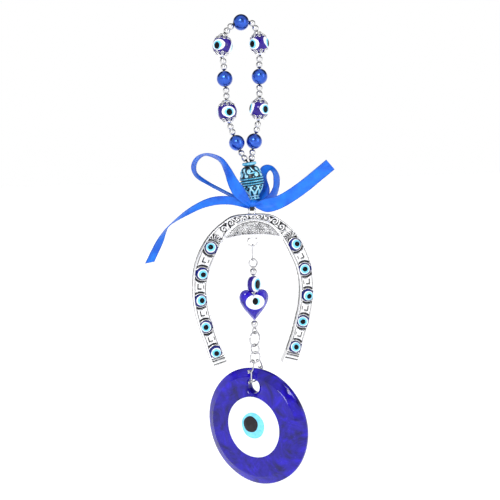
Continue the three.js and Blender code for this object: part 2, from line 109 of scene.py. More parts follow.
def xyz(x, y, z):
    """Points from their coordinates, each a number or an array."""
    return np.stack(np.broadcast_arrays(x, y, z), axis=-1)


def circle(angles, x=0.0, y=0.0, radius=1.0):
    return np.stack([x + radius * np.cos(angles), y + radius * np.sin(angles)], axis=-1)


def whole_turn(count):
    """That many angles, evenly round a circle."""
    return np.linspace(0, 2 * math.pi, count, endpoint=False)


def mirrored(half):
    """An outline of [x, z] points, given from its middle out to its right end."""
    return [[-x, z] for x, z in half[:0:-1]] + half


def closed_ends(net):
    """The net with a row added at each end, drawn together to the middle of the row beside it."""
    first, last = [np.repeat(row.mean(axis=1, keepdims=True), net.shape[1], axis=1)
                   for row in (net[:1], net[-1:])]
    return np.concatenate([first, net, last])


def unit_rows(rows):
    return rows / np.linalg.norm(rows, axis=1, keepdims=True)


def run_along(line):
    """How far along a line each of its points is."""
    return np.concatenate([[0], np.cumsum(np.linalg.norm(np.diff(line, axis=0), axis=1))])


def frame_of(z, x=None):
    """A turn whose third column is z, and whose first is as near x as it can be."""
    z = unit(z)
    x = np.array([1.0, 0, 0]) if x is None else np.asarray(x, float)
    x = x - z * np.dot(x, z)
    if np.linalg.norm(x) < 1e-4:
        x = np.cross(z, [0, 1.0, 0])
    x = unit(x)
    return np.stack([x, np.cross(z, x), z], axis=1)


def principal(node):
    """The middle of a CAD node and its axes, longest first, with its length along each."""
    points = np.array([v.co for v in frame["nodes"][node].data.vertices])
    mid = centre(node)
    _, _, axes = np.linalg.svd(points - points.mean(axis=0), full_matrices=False)
    return mid, axes, np.ptp((points - mid) @ axes.T, axis=0)


def grid(points, wrap_u=False, wrap_v=False, mat=0, shade=None):
    """A net of points as a part: (vertices, quads, material number, shade of each vertex)."""
    points = np.asarray(points, float)
    nu, nv = points.shape[:2]
    rows = np.arange(nu * nv).reshape(nu, nv)
    if wrap_u:
        rows = np.vstack([rows, rows[:1]])
    if wrap_v:
        rows = np.hstack([rows, rows[:, :1]])
    quads = np.stack([rows[:-1, :-1], rows[1:, :-1], rows[1:, 1:], rows[:-1, 1:]], axis=-1)
    tone = np.ones(nu * nv) if shade is None else np.asarray(shade, float).reshape(-1)
    return [points.reshape(-1, 3), quads.reshape(-1, 4), mat, tone]


def placed(part, at=(0, 0, 0), turn=None):
    v = part[0] if turn is None else part[0] @ np.asarray(turn).T
    return [v + np.asarray(at, float), *part[1:]]


def spline(points, count, closed=False):
    """Points evenly spread along a smooth line through the given ones."""
    p = np.asarray(points, float)
    p = np.vstack([p[-1:], p, p[:2]]) if closed else np.vstack([2 * p[0] - p[1], p, 2 * p[-1] - p[-2]])
    fine = []
    for a, b, c, d in zip(p[:-3], p[1:-2], p[2:-1], p[3:]):
        for t in np.linspace(0, 1, 24, endpoint=False):
            fine.append(0.5 * (2 * b + (c - a) * t + (2 * a - 5 * b + 4 * c - d) * t**2
                               + (3 * b - 3 * c + d - a) * t**3))
    fine.append(p[-2] if not closed else fine[0])
    fine = np.array(fine)
    run = run_along(fine)
    at = np.linspace(0, run[-1], count, endpoint=not closed)
    return np.stack([np.interp(at, run, fine[:, k]) for k in range(fine.shape[1])], axis=1)


def lathe(profile, segments=48, mat=0, shade=None, closed=True):
    """Turns [radius, height] pairs about Z. A closed profile makes a bored solid."""
    profile = np.asarray(profile, float)
    angles = whole_turn(segments)
    r, z = profile[:, 0:1], profile[:, 1:2]
    points = xyz(r * np.cos(angles), r * np.sin(angles), z)
    tone = None if shade is None else np.repeat(np.asarray(shade)[:, None], segments, axis=1)
    return grid(points[::-1], wrap_u=closed, wrap_v=True, mat=mat, shade=tone)


def tube(path, radius, sides=12, closed=False):
    """A round wire along a path, with rounded ends unless it is closed."""
    path = np.asarray(path, float)
    widths = np.full(len(path), radius) if np.isscalar(radius) else radius
    if closed:
        ahead = np.roll(path, -1, axis=0) - np.roll(path, 1, axis=0)
    else:
        path = np.pad(path, ((2, 2), (0, 0)), mode="edge")
        widths = np.pad(widths, 2, mode="edge")
        ahead = np.gradient(path, axis=0)
        ahead[:2] = ahead[2]
        ahead[-2:] = ahead[-3]
    ahead = unit_rows(ahead)
    if not closed:
        for way, tip, ring, full in ((-1, 0, 1, 2), (1, -1, -2, -3)):
            path[tip] += way * ahead[tip] * widths[full] * 0.6
            path[ring] += way * ahead[ring] * widths[full] * 0.45
            widths[tip] = 1e-6
            widths[ring] *= 0.75
    side = frame_of(ahead[0])[:, 0]
    sides_of = []
    for a in ahead:
        side = unit(side - a * np.dot(side, a))
        sides_of.append(side)
    twist = 0.0
    if closed:
        end = unit(side - ahead[0] * np.dot(side, ahead[0]))
        twist = math.atan2(np.dot(np.cross(end, sides_of[0]), ahead[0]), np.dot(end, sides_of[0]))
    rings = []
    for i, (p, a, s, w) in enumerate(zip(path, ahead, sides_of, widths)):
        turn = whole_turn(sides) + twist * i / len(path)
        rings.append(p + w * (np.cos(turn)[:, None] * s + np.sin(turn)[:, None] * np.cross(a, s)))
    return grid(rings, wrap_u=closed, wrap_v=True)


def joined(node, parts, materials, body=None, name=None):
    """One object made of several parts, standing for its CAD node and moving with its body."""
    verts, faces, mats, tones = zip(*parts)
    starts = np.cumsum([0] + [len(v) for v in verts[:-1]])
    quads = np.vstack([f + start for f, start in zip(faces, starts)])
    name = name or node + "_look"
    mesh = bpy.data.meshes.new(name)
    mesh.from_pydata(np.vstack(verts).tolist(), [], quads.tolist())
    of_quad = np.repeat(mats, [len(f) for f in faces]).astype(np.int32)
    mesh.polygons.foreach_set("material_index", of_quad)
    mesh.polygons.foreach_set("use_smooth", np.full(len(quads), True))
    tone = mesh.attributes.new("shade", "FLOAT", "POINT")
    tone.data.foreach_set("value", np.concatenate(tones).astype(np.float32))
    for material in materials:
        mesh.materials.append(material)
    mesh.update()
    obj = bpy.data.objects.new(name, mesh)
    bpy.context.collection.objects.link(obj)
    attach(obj, body or node)
    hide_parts(node)
    return obj


# ---- materials
class Nodes:
    """A node tree of a new material, or of the world given, with one call to make each node."""

    def __init__(self, name, world=None):
        self.material = world or bpy.data.materials.new(name)
        self.material.use_nodes = True
        self.tree = self.material.node_tree
        self.shader = self.tree.nodes["Background" if world else "Principled BSDF"]

    def new(self, kind, inputs=(), **settings):
        node = self.tree.nodes.new(kind)
        for key, value in settings.items():
            setattr(node, key, value)
        for key, value in dict(inputs).items():
            self.put(node.inputs[key], value)
        return node

    def put(self, socket, value):
        if isinstance(value, bpy.types.NodeSocket):
            self.tree.links.new(value, socket)
        else:
            socket.default_value = value

    def set(self, **values):
        for key, value in values.items():
            self.put(self.shader.inputs[key.replace("_", " ")], value)

    def place(self):
        return self.new("ShaderNodeTexCoord").outputs["Object"]

    def noise(self, scale, detail=4.0, rough=0.5, distortion=0.0):
        node = self.new("ShaderNodeTexNoise", {
            "Vector": self.place(), "Scale": scale, "Detail": detail,
            "Roughness": rough, "Distortion": distortion})
        return node.outputs["Fac"]

    def ramp(self, value, *stops):
        node = self.new("ShaderNodeValToRGB", {"Fac": value})
        ramp = node.color_ramp
        while len(ramp.elements) < len(stops):
            ramp.elements.new(0.5)
        for element, (at, colour) in zip(ramp.elements, stops):
            element.position = at
            element.color = (*colour, 1) if len(colour) == 3 else colour
        return node.outputs["Color"]

    def span(self, value, low, high, to_low=0.0, to_high=1.0):
        return self.new("ShaderNodeMapRange", {
            "Value": value, "From Min": low, "From Max": high,
            "To Min": to_low, "To Max": to_high}).outputs["Result"]

    def math(self, operation, *values):
        return self.new("ShaderNodeMath", dict(enumerate(values)), operation=operation).outputs[0]

    def mix(self, factor, a, b, blend="MIX"):
        node = self.new("ShaderNodeMix", data_type="RGBA", blend_type=blend)
        self.put(node.inputs[0], factor)
        self.put(node.inputs[6], a if isinstance(a, bpy.types.NodeSocket) else (*a, 1))
        self.put(node.inputs[7], b if isinstance(b, bpy.types.NodeSocket) else (*b, 1))
        return node.outputs[2]

    def bump(self, height, strength, distance=0.0001):
        normal = self.new("ShaderNodeBump", {"Height": height, "Strength": strength, "Distance": distance})
        self.put(self.shader.inputs["Normal"], normal.outputs["Normal"])

    def shade(self):
        return self.new("ShaderNodeAttribute", attribute_name="shade").outputs["Fac"]


def silver(name, bright=(0.86, 0.86, 0.87), dark=(0.02, 0.02, 0.024), rough=0.16, tarnish=0.35, grain=260):
    """Bright silver plate, with fine scratches, and black where its shade attribute is low: partly tarnish
    in its hollows, partly painted shade where parts meet.
    """
    n = Nodes(name)
    cloud = n.noise(grain, 5, 0.6)
    fine = n.noise(2600, 3, 0.6)
    # The shade attribute plus random tarnish paints the plate black: partly tarnish in hollows, partly
    # painted shade where parts meet or lie close.
    tarnish_and_painted_shade = n.math("ADD", n.shade(), n.span(cloud, 0.3, 0.7, -tarnish / 2, tarnish / 2))
    unshaded_and_clean = n.span(tarnish_and_painted_shade, 0.28, 0.62)
    n.set(Base_Color=n.mix(unshaded_and_clean, dark, n.mix(cloud, [0.9 * c for c in bright], bright)),
          Metallic=n.span(unshaded_and_clean, 0, 1, 0.55, 1.0),
          Roughness=n.math("ADD", n.span(unshaded_and_clean, 0, 1, 0.55, rough), n.span(fine, 0.3, 0.7, -0.03, 0.05)))
    n.bump(fine, 0.12, 0.00004)
    return n.material


def wire_silver(name):
    """Drawn wire: bright, with die lines and a little wear."""
    n = Nodes(name)
    lines = n.noise(1800, 2, 0.4, 0.4)
    cloud = n.noise(320, 4)
    n.set(Base_Color=n.ramp(cloud, (0.3, (0.36, 0.36, 0.38)), (0.62, (0.62, 0.62, 0.64))),
          Metallic=1.0, Roughness=n.span(lines, 0.3, 0.7, 0.13, 0.26))
    n.bump(lines, 0.15, 0.00003)
    return n.material


def pearl_blue():
    """A pearlised coat: bright blue under a clear gloss, with soft clouds, and dark navy painted round its
    bores as shade where each pearl meets its neighbours.
    """
    n = Nodes("pearl_blue")
    cloud = n.noise(240, 4, 0.55, 0.6)
    coat = n.ramp(cloud, (0.3, (0.016, 0.06, 0.38)), (0.55, (0.025, 0.10, 0.54)), (0.75, (0.06, 0.19, 0.74)))
    # Painted shade: dark navy where the shade attribute is low, round each bore end.
    n.set(Base_Color=n.mix(n.span(n.shade(), 0, 1), (0.004, 0.008, 0.07), coat),
          Metallic=0.95, Roughness=n.span(cloud, 0.3, 0.7, 0.19, 0.26), Coat_Weight=0.4, Coat_Roughness=0.05)
    n.bump(n.noise(1500, 2), 0.05, 0.00004)
    return n.material


def cobalt(name, deep=(0.012, 0.004, 0.22), light=(0.06, 0.03, 0.62), scale=120, clear=0.0, streak=2.0):
    """Poured cobalt glass with streaks and a fire-polished surface."""
    n = Nodes(name)
    swirl = n.noise(scale, 5, 0.6, streak)
    seeds = n.new("ShaderNodeTexVoronoi", {"Vector": n.place(), "Scale": scale * 9}).outputs["Distance"]
    bubble = n.span(seeds, 0.0, 0.09, 1.0, 0.0)
    body = n.ramp(swirl, (0.3, deep), (0.55, tuple((a + b) / 2 for a, b in zip(deep, light))), (0.72, light))
    n.set(Base_Color=n.mix(n.math("MULTIPLY", bubble, 0.25), body, (0.35, 0.35, 0.9)),
          Roughness=n.span(swirl, 0.2, 0.8, 0.03, 0.08), Transmission_Weight=clear, IOR=1.52,
          Coat_Weight=0.1, Coat_Roughness=0.02, Specular_IOR_Level=0.3)
    n.bump(n.noise(scale * 1.6, 3, 0.5, 1.0), 0.12, 0.0002)
    return n.material


def enamel(name, colour, second, rough=0.06, scale=420, gloss=0.5):
    """Opaque glass or resin of an eye's ring, uneven where it was poured by hand."""
    n = Nodes(name)
    cloud = n.noise(scale, 4, 0.55, 0.8)
    n.set(Base_Color=n.ramp(cloud, (0.32, second), (0.62, colour)),
          Roughness=n.span(cloud, 0.3, 0.7, rough, rough + 0.06),
          Specular_IOR_Level=gloss)
    n.bump(cloud, 0.06, 0.0001)
    return n.material


def waxed_cord():
    """Black waxed cord: laid strands and dusty wax."""
    n = Nodes("waxed_cord")
    strands = n.new("ShaderNodeTexWave", {
        "Vector": n.place(), "Scale": 900.0, "Distortion": 2.0, "Detail": 2.0}, bands_direction="DIAGONAL")
    wax = n.noise(900, 4)
    n.set(Base_Color=n.ramp(wax, (0.35, (0.008, 0.008, 0.01)), (0.7, (0.05, 0.05, 0.055))),
          Roughness=n.span(wax, 0.3, 0.7, 0.45, 0.7), Sheen_Weight=0.2)
    n.bump(strands.outputs["Fac"], 0.6, 0.00012)
    return n.material


def satin():
    """Royal blue satin: fine threads across the ribbon, a broad sheen and woven edges."""
    n = Nodes("satin")
    uv = n.new("ShaderNodeAttribute", attribute_name="cloth").outputs["Vector"]
    split = n.new("ShaderNodeSeparateXYZ", {"Vector": uv})
    along, across = split.outputs["X"], split.outputs["Y"]
    weft = n.math("SINE", n.math("MULTIPLY", along, 2 * math.pi / 0.16))
    warp = n.math("SINE", n.math("MULTIPLY", across, 2 * math.pi / 0.22))
    weave = n.math("MULTIPLY_ADD", n.math("ADD", weft, n.math("MULTIPLY", warp, 0.4)), 0.35, 0.5)
    edge = n.span(n.math("ABSOLUTE", across), 2.75, 3.0)
    cloud = n.noise(170, 3, 0.5)
    colour = n.ramp(cloud, (0.3, (0.001, 0.09, 0.60)), (0.7, (0.003, 0.20, 0.88)))
    colour = n.mix(n.math("MULTIPLY", n.span(weave, 0.2, 0.8), 0.35), colour, (0.002, 0.05, 0.45))
    n.set(Base_Color=n.mix(n.math("MULTIPLY", edge, 0.6), colour, (0.002, 0.04, 0.34)),
          Roughness=n.span(weave, 0, 1, 0.3, 0.42), Sheen_Weight=0.22, Sheen_Roughness=0.3,
          Sheen_Tint=(0.15, 0.6, 1.0, 1.0), Anisotropic=0.6, Specular_IOR_Level=0.35)
    n.bump(n.math("ADD", weave, n.math("MULTIPLY", edge, 0.8)), 0.4, 0.00005)
    return n.material


def carved():
    """Turquoise glaze on the relief, worn to pale on its crests, over a black ground."""
    n = Nodes("carved_barrel")
    cloud = n.noise(420, 5, 0.6)
    height = n.math("ADD", n.shade(), n.span(cloud, 0.3, 0.7, -0.12, 0.12))
    colour = n.ramp(height, (0.36, (0.004, 0.006, 0.008)), (0.50, (0.005, 0.07, 0.16)),
                    (0.68, (0.01, 0.27, 0.50)), (0.90, (0.06, 0.46, 0.68)), (0.99, (0.45, 0.78, 0.88)))
    n.set(Base_Color=colour, Roughness=n.span(cloud, 0.3, 0.7, 0.28, 0.5), Metallic=0.15, Coat_Weight=0.3)
    n.bump(n.noise(1700, 4), 0.25, 0.00008)
    return n.material


SILVER = silver("silver_plate", bright=(0.66, 0.66, 0.67))
CAST = silver("antique_silver", rough=0.2, tarnish=0.6, grain=620)
FILIGREE = silver("filigree_silver", rough=0.22, tarnish=0.3, bright=(0.92, 0.92, 0.92))
WIRE = wire_silver("chain_wire")
PEARL = pearl_blue()
GLASS = cobalt("bead_glass", deep=(0.008, 0.001, 0.12), light=(0.03, 0.005, 0.34), scale=260)
HEART = cobalt("heart_glass", deep=(0.005, 0.002, 0.20), light=(0.035, 0.010, 0.68), scale=200, clear=0.2)
DISC = cobalt("disc_glass", deep=(0.004, 0.001, 0.09), light=(0.018, 0.004, 0.60), scale=62, streak=3.2)
WHITE = enamel("eye_white", (0.93, 0.94, 0.95), (0.83, 0.88, 0.95))
CYAN = enamel("eye_light_blue", (0.20, 0.70, 0.93), (0.12, 0.58, 0.86))
PALE = enamel("eye_pale_blue", (0.50, 0.82, 0.95), (0.36, 0.74, 0.93))
BLACK = enamel("eye_black", (0.003, 0.002, 0.003), (0.008, 0.005, 0.007), gloss=0.12)
CHARCOAL = enamel("disc_pupil", (0.014, 0.012, 0.015), (0.034, 0.029, 0.036), scale=200, gloss=0.2)
RESIN = enamel("resin_blue", (0.003, 0.012, 0.22), (0.002, 0.006, 0.11), gloss=0.3)
CORD = waxed_cord()
SATIN = satin()
CARVED = carved()
EYE_PAINTS = [GLASS, WHITE, CYAN, BLACK]


# ---- beads on the cord
PEARL_R, SPACER_R, EYE_R = 3.85 * MM, 1.7 * MM, 4.75 * MM
SPACER_GAP = 0.08 * MM  # a spacer is this much smaller than in the solids, to stay clear of the pearls


def bored_profile(radius, bore, half=None, steps=30, lip=0.12 * MM):
    """The outline of a bead with a bore and softened edges, from its top round to its bottom."""
    end = math.sqrt(radius**2 - bore**2) if half is None else half
    start = math.asin(min(1.0, end / radius))
    mouth = [[bore, end - lip * 1.6], [bore + lip * 0.5, end - lip * 0.5],
             [bore + lip * 1.6, end - lip * 0.2]]
    if half is not None:
        mouth.append([radius * math.cos(start) - lip, end])
    angles = np.linspace(start - 0.02, -start + 0.02, steps)
    return mouth + circle(angles, radius=radius).tolist() + [[r, -z] for r, z in mouth[::-1]]


def on_joint(part, name):
    """The part set on its bead's joint, with its own Z along the bore."""
    joint = JOINTS[name + "_spin"]
    return placed(part, joint["pos_m"], frame_of(joint["axis"]))


def pearls():
    """Pearls that are a little uneven, with navy painted shade round each bore, where they meet their
    neighbours.
    """
    profile = np.array(bored_profile(PEARL_R, 0.72 * MM, steps=34))
    # Painted shade: the band nearest each bore end is darkened to navy.
    bore_end_painted_shade = np.clip((np.abs(profile[:, 1]) / MM - 3.35) / 0.35, 0, 1)
    for name in nodes_named("pearl_"):
        part = lathe(profile, 56, shade=1 - bore_end_painted_shade)
        part[0] *= 0.996 + 0.003 * np.sin(part[0][:, 0:1] * 900 + RNG.random() * 6)
        joined(name, [on_joint(part, name)], [PEARL])


def spacers():
    """Pairs of polished balls, each with a drawn lip round its bore and a fine seam at its middle, and
    painted shade darkening each ball's ends where it meets its neighbours.
    """
    profile = bored_profile(SPACER_R - SPACER_GAP, 0.62 * MM, steps=26, lip=0.08 * MM)
    profile[len(profile) // 2 - 1][0] += 0.012 * MM
    # Painted shade: each ball goes dark near its bore ends, so the joins with its neighbours read as dark
    # gaps.
    shade = [1.0 - min(max((abs(z) / SPACER_R - 0.72) / 0.1, 0), 1) for _, z in profile]
    for name in nodes_named("spacers_"):
        mid, axes, extent = principal(name)
        reach = (extent[0] / 2 - SPACER_R) * axes[0]
        ball = lathe(profile, 40, shade=shade)
        parts = [placed(ball, at, frame_of(axes[0])) for at in (mid - reach, mid + reach)]
        joined(name, parts, [SILVER], "beaded_loop")


def on_sphere(polar, turn, radius):
    return xyz(radius * np.sin(polar) * np.cos(turn), radius * np.sin(polar) * np.sin(turn),
               radius * np.cos(polar))


def eye_patch(direction, radius, spread, mat, lift, centre_at, squash=1.0):
    """A round eye layer that lies on a ball, domed and slightly uneven at its edge."""
    rings = [spread * s for s in (1.0, 0.97, 0.9, 0.75, 0.55, 0.35, 0.15, 0.01)]
    lifts = [-0.05 * MM] + [lift * share for share in (0.55, 1, 1.05, 1.08, 1.1, 1.1, 1.1)]
    angles = whole_turn(40)
    wobble = 1 + 0.03 * np.sin(2 * angles + RNG.random() * 6) + 0.015 * np.sin(5 * angles + RNG.random() * 6)
    across, along = squash * np.cos(angles), np.sin(angles)
    heading = np.arctan2(along, across)
    reach = math.radians(1) * wobble * np.hypot(across, along)
    rows = [on_sphere(ring * reach, heading, radius + up) for ring, up in zip(rings, lifts)]
    return placed(grid(rows[::-1], wrap_v=True, mat=mat), centre_at, frame_of(direction))


def eye_on_ball(way, radius, centre_at):
    """White, light blue and black, one on another, each poured a little off centre."""
    off = unit(way + np.array([RNG.uniform(-0.06, 0.06) for _ in range(3)]))
    return [eye_patch(way, radius, 34, 1, 0.05 * MM, centre_at, 1.34),
            eye_patch(off, radius, 26, 2, 0.10 * MM, centre_at, 1.1),
            eye_patch(unit(2 * off - way), radius, 20, 3, 0.15 * MM, centre_at, 0.95)]


EYE_SIDES = {  # where each glass eye looks, in degrees from straight ahead
    "left_top": (-38, 84, 200), "left_low": (2, 124, 240), "right_top": (-54, 64, 184),
    "right_low": (-84, 36, 156),
}


def eye_beads():
    """Glass balls with three eyes round their middle."""
    ball = lathe(bored_profile(EYE_R, 0.8 * MM, 4.28 * MM, steps=40), 64)
    for place, looks in EYE_SIDES.items():
        name = "eye_bead_" + place
        joint = JOINTS[name + "_spin"]
        axis = np.asarray(joint["axis"])
        parts = [on_joint(ball, name)]
        for look in looks:
            way = np.array([*circle(math.radians(look - 90)), 0.0])
            way = unit(unit(way - axis * np.dot(way, axis)) + axis * RNG.uniform(-0.06, 0.06))
            parts += eye_on_ball(way, EYE_R, joint["pos_m"])
        joined(name, parts, EYE_PAINTS)


def petal(turn, inner, outer, width, radius):
    """A closed teardrop of wire on the ball, from near the collar out to its round tip."""
    t = whole_turn(30)
    along = (1 - np.cos(t)) / 2
    side = np.sin(t) * np.sqrt(along) * width / np.sin(inner + (outer - inner) * (along + 0.2))
    return on_sphere(inner + (outer - inner) * along, turn + side, radius)


def granule(at, radius):
    bulge = circle(np.linspace(1.3, -1.3, 6), radius=radius).tolist()
    profile = [[1e-6, radius], *bulge, [1e-6, -radius]]
    return placed(lathe(profile, 8, closed=False), at, frame_of(at))


def filigree_cap():
    """An openwork cup of eight wire petals, with a roped collar and granules between the petals, its wires
    painted dark as shade where they lie close to the bead.
    """
    parts = []
    radius = 5.0 * MM
    for k in range(8):
        turn = 2 * math.pi * k / 8
        parts.append(tube(petal(turn, 0.42, 0.93, 0.20, radius), 0.17 * MM, 7, closed=True))
        parts.append(tube(petal(turn, 0.50, 0.78, 0.08, radius + 0.05 * MM), 0.12 * MM, 6, closed=True))
        parts.append(granule(on_sphere(0.60, turn, radius + 0.1 * MM), 0.17 * MM))
        parts.append(granule(on_sphere(0.86, turn + math.pi / 8, radius), 0.20 * MM))
    dish = [[0.9, 4.62], [1.7, 4.74], [2.3, 4.60], [2.35, 4.72], [2.2, 4.95], [1.9, 5.1], [1.75, 5.42],
            [1.6, 5.5], [1.0, 5.5], [0.9, 5.4]]
    parts.append(lathe(np.array(dish) * MM, 48))
    for radius_mm, height, bead in ((2.32, 4.86, 0.16), (1.5, 5.46, 0.13)):
        for x, y in circle(whole_turn(int(radius_mm * 13)), radius=radius_mm):
            parts.append(granule(np.array([x, y, height]) * MM, bead * MM))
    # Painted shade: the wire and collar go dark where they lie close to the bead underneath.
    for part in parts:
        depth = (np.linalg.norm(part[0], axis=1) / MM - 4.86) / 0.22
        part[3] = np.clip(depth, 0, 1)
    return parts


def caps():
    """A cap over each end of each eye bead, opening towards the bead."""
    for place in EYE_SIDES:
        joint = JOINTS[f"eye_bead_{place}_spin"]
        axis = np.array(joint["axis"]) * math.copysign(1, joint["axis"][2])
        for where, way in (("above", axis), ("below", -axis)):
            parts = [placed(part, joint["pos_m"], frame_of(way)) for part in filigree_cap()]
            joined(f"cap_{where}_{place}", parts, [FILIGREE], "eye_bead_" + place)


pearls()
spacers()
eye_beads()
caps()


# ---- the barrel bead
def ridge(distance, width):
    """A round-topped ridge of that half width, 1 at its crest."""
    return np.sqrt(np.clip(1 - (distance / width) ** 2, 0, 1))


def highest(*reliefs):
    """The highest of several reliefs at each place."""
    return np.maximum.reduce(np.broadcast_arrays(*reliefs))


def near_line(u, v, line):
    """Each point's distance to a line of points."""
    best = np.full(u.shape, 1e9)
    for (a, b), (c, d) in zip(line[:-1], line[1:]):
        length = max((c - a) ** 2 + (d - b) ** 2, 1e-12)
        t = np.clip(((u - a) * (c - a) + (v - b) * (d - b)) / length, 0, 1)
        best = np.minimum(best, (u - a - t * (c - a)) ** 2 + (v - b - t * (d - b)) ** 2)
    return np.sqrt(best)


def scroll(at, size_of, turns, start, way=1, tail=0.0):
    """A spiral that opens out from its eye and runs off in a tail."""
    t = np.linspace(0, 1, 34)
    angle = start + way * turns * 2 * math.pi * t
    radius = size_of * (0.12 + 0.88 * t)
    line = circle(angle, *at, radius)
    if tail:
        step = circle(angle[-1] + way * math.pi / 2)
        line = np.vstack([line, line[-1] + tail * 0.5 * step, line[-1] + tail * step])
    return line


BARREL_PROFILE = [
    [3.0, 9.16], [3.3, 9.0], [3.38, 8.4], [3.3, 7.9], [2.95, 7.5], [3.05, 7.0], [3.9, 6.3], [4.7, 5.0],
    [5.3, 3.4], [5.65, 1.9], [5.8, 1.2], [5.75, 0.9], [5.45, 0.55], [5.75, 0.1], [5.75, -0.4], [5.4, -0.85],
    [5.65, -1.3], [5.6, -1.8], [5.25, -2.6], [4.75, -4.0], [3.95, -5.6], [3.2, -6.8], [2.45, -7.8],
    [2.5, -8.5], [2.62, -8.9], [2.4, -9.14],
]


def in_repeat(turn, count):
    """How far round the barrel each place lies from the middle of its own repeat, in millimetres."""
    cell = 2 * math.pi / count
    return ((turn + cell / 2) % cell - cell / 2) * 4.9


def upper_carving(u, z):
    """S scrolls, a leaf and dots."""
    scrolls = [scroll((-1.5, 4.9), 1.05, 1.35, 2.6, 1, 1.6), scroll((1.6, 3.1), 1.05, 1.35, -0.5, 1, 1.6),
               scroll((2.9, 5.6), 0.7, 1.1, 0.5, -1, 0.8), scroll((-2.9, 2.7), 0.7, 1.1, 3.6, -1, 0.8)]
    leaf = [[-0.5, 6.6], [0.1, 5.6], [0.9, 4.9]]
    dots = [(-1.5, 4.9), (1.6, 3.1), (3.5, 4.1), (-3.4, 4.3), (0.2, 2.1)]
    return highest(ridge(near_line(u, z, leaf), 0.5),
                   *[ridge(near_line(u, z, line), 0.42) for line in scrolls],
                   *[1.15 * ridge(np.hypot(u - a, z - b), 0.34) for a, b in dots])


def lower_carving(u, z):
    """A pair of leaves with a dot between them, on a stem."""
    leaf = [[0.15, -6.3], [0.5, -4.9], [1.25, -3.9], [1.5, -2.7], [0.8, -2.5]]
    return highest(*[ridge(near_line(u * side, z, leaf), 0.42) for side in (1, -1)],
                   0.95 * ridge(np.hypot(u, z + 3.4), 0.42),
                   0.9 * ridge(np.abs(u) - 0.05, 0.22) * (z < -5.2))


def barrel_relief(turn, z):
    """The carving, 0 in its ground and about 1 on its crests, with roped bands and rims."""
    narrow = np.clip((z + 9.5) / 8.0, 0.25, 1)
    bands = highest(ridge(z - 1.15, 0.45), ridge(z + 0.15, 0.5), ridge(z + 1.4, 0.42))
    rims = highest(ridge(z - 8.4, 0.85), ridge(z + 8.75, 0.5))
    return highest(upper_carving(in_repeat(turn, 4), z) * (z > 1.3),
                   lower_carving(in_repeat(turn, 8) * narrow, z) * (z < -1.9),
                   ridge(z + 7.5, 0.35),
                   bands * (0.75 + 0.25 * np.sin(turn * 44 + z * 5)),
                   rims * (0.8 + 0.2 * np.sin(turn * 30)))


def barrel():
    outline = spline(BARREL_PROFILE, 190)
    turns = whole_turn(260)
    turn, z = np.meshgrid(turns, outline[:, 1])
    height = barrel_relief(turn, z)
    r = outline[:, 0:1] - 0.42 + 0.55 * height
    carved_face = xyz(r * np.cos(turn), r * np.sin(turn), z)
    inner = np.array([[2.0, -9.0], [1.75, -8.6], [1.75, 8.6], [2.2, 9.0]])
    bore = xyz(inner[:, :1] * np.cos(turns), inner[:, :1] * np.sin(turns), inner[:, 1:])
    shade = np.vstack([0.25 + 0.8 * height, np.full((len(inner), len(turns)), 0.1)])
    part = grid(np.concatenate([carved_face, bore]) * MM, True, True, shade=shade)
    part[1] = part[1][:, ::-1]
    joined("barrel_bead", [on_joint(part, "barrel_bead")], [CARVED])


barrel()


# ---- the ribbon bow
# One edge and the other edge of each strip, in millimetres in the ornament's own frame.
LEFT_LOOP = [
    [-1.0, -5.6, -82.6, -2.0, -4.6, -85.0], [-5.0, -9.0, -75.6, -9.4, -8.2, -79.6],
    [-8.6, -9.6, -70.6, -12.2, -6.4, -73.8], [-11.9, -9.2, -65.0, -13.7, -4.2, -67.6],
    [-15.8, -8.2, -60.3, -16.1, -2.2, -61.9], [-22.2, -7.2, -58.2, -22.0, -1.0, -59.2],
    [-27.4, -6.4, -59.8, -25.6, -0.4, -61.4], [-29.8, -5.8, -64.4, -26.9, -0.2, -65.0],
    [-27.8, -5.4, -69.4, -25.9, 0.5, -68.2], [-21.9, -5.2, -73.4, -21.0, 0.9, -72.0],
    [-14.0, -5.4, -77.7, -13.2, 0.6, -76.2], [-2.4, -4.4, -84.2, -2.4, -0.8, -82.6],
]
LEFT_TAIL = [
    [-1.6, -4.4, -82.8, -2.4, -4.0, -85.4], [-9.0, -6.6, -79.6, -10.6, -5.4, -83.2],
    [-14.7, -7.6, -78.7, -17.2, -5.6, -82.8], [-21.2, -8.4, -79.2, -23.9, -6.0, -84.0],
    [-27.6, -9.0, -81.6, -30.3, -5.6, -86.4], [-33.9, -9.4, -85.2, -36.6, -5.2, -89.4],
    [-39.7, -9.6, -90.0, -41.2, -4.2, -92.6], [-44.4, -9.0, -94.6, -42.9, -3.4, -96.0],
    [-48.4, -8.2, -100.0, -44.4, -4.2, -99.8], [-53.4, -7.4, -109.6, -48.9, -5.0, -109.2],
]
RIGHT_LOOP = [
    [1.9, 1.6, -82.6, 2.4, -2.4, -84.8], [5.9, 4.6, -75.4, 8.9, 0.4, -78.4],
    [5.6, 6.4, -67.4, 7.9, 1.2, -70.4], [8.4, 6.4, -64.6, 9.4, 0.8, -67.2],
    [12.4, 5.8, -65.6, 10.9, 0.2, -68.8], [14.9, 4.4, -70.2, 11.1, -0.4, -72.2],
    [14.3, 2.6, -76.2, 10.5, -1.6, -75.6], [10.9, 0.2, -81.8, 7.6, -3.4, -79.2],
    [1.8, -3.4, -85.0, 1.9, -3.0, -82.6],
]
RIGHT_TAIL = [
    [1.2, -5.2, -82.4, 1.2, -4.6, -85.2], [5.6, -6.8, -80.6, 6.2, -7.2, -87.2],
    [10.6, -7.4, -79.6, 12.4, -8.2, -85.8], [16.6, -7.8, -76.6, 19.6, -7.8, -82.2],
    [24.2, -7.6, -71.6, 27.8, -7.2, -76.9], [30.6, -7.4, -66.8, 34.8, -6.9, -71.6],
    [36.0, -7.4, -62.6, 40.2, -7.0, -67.4],
]
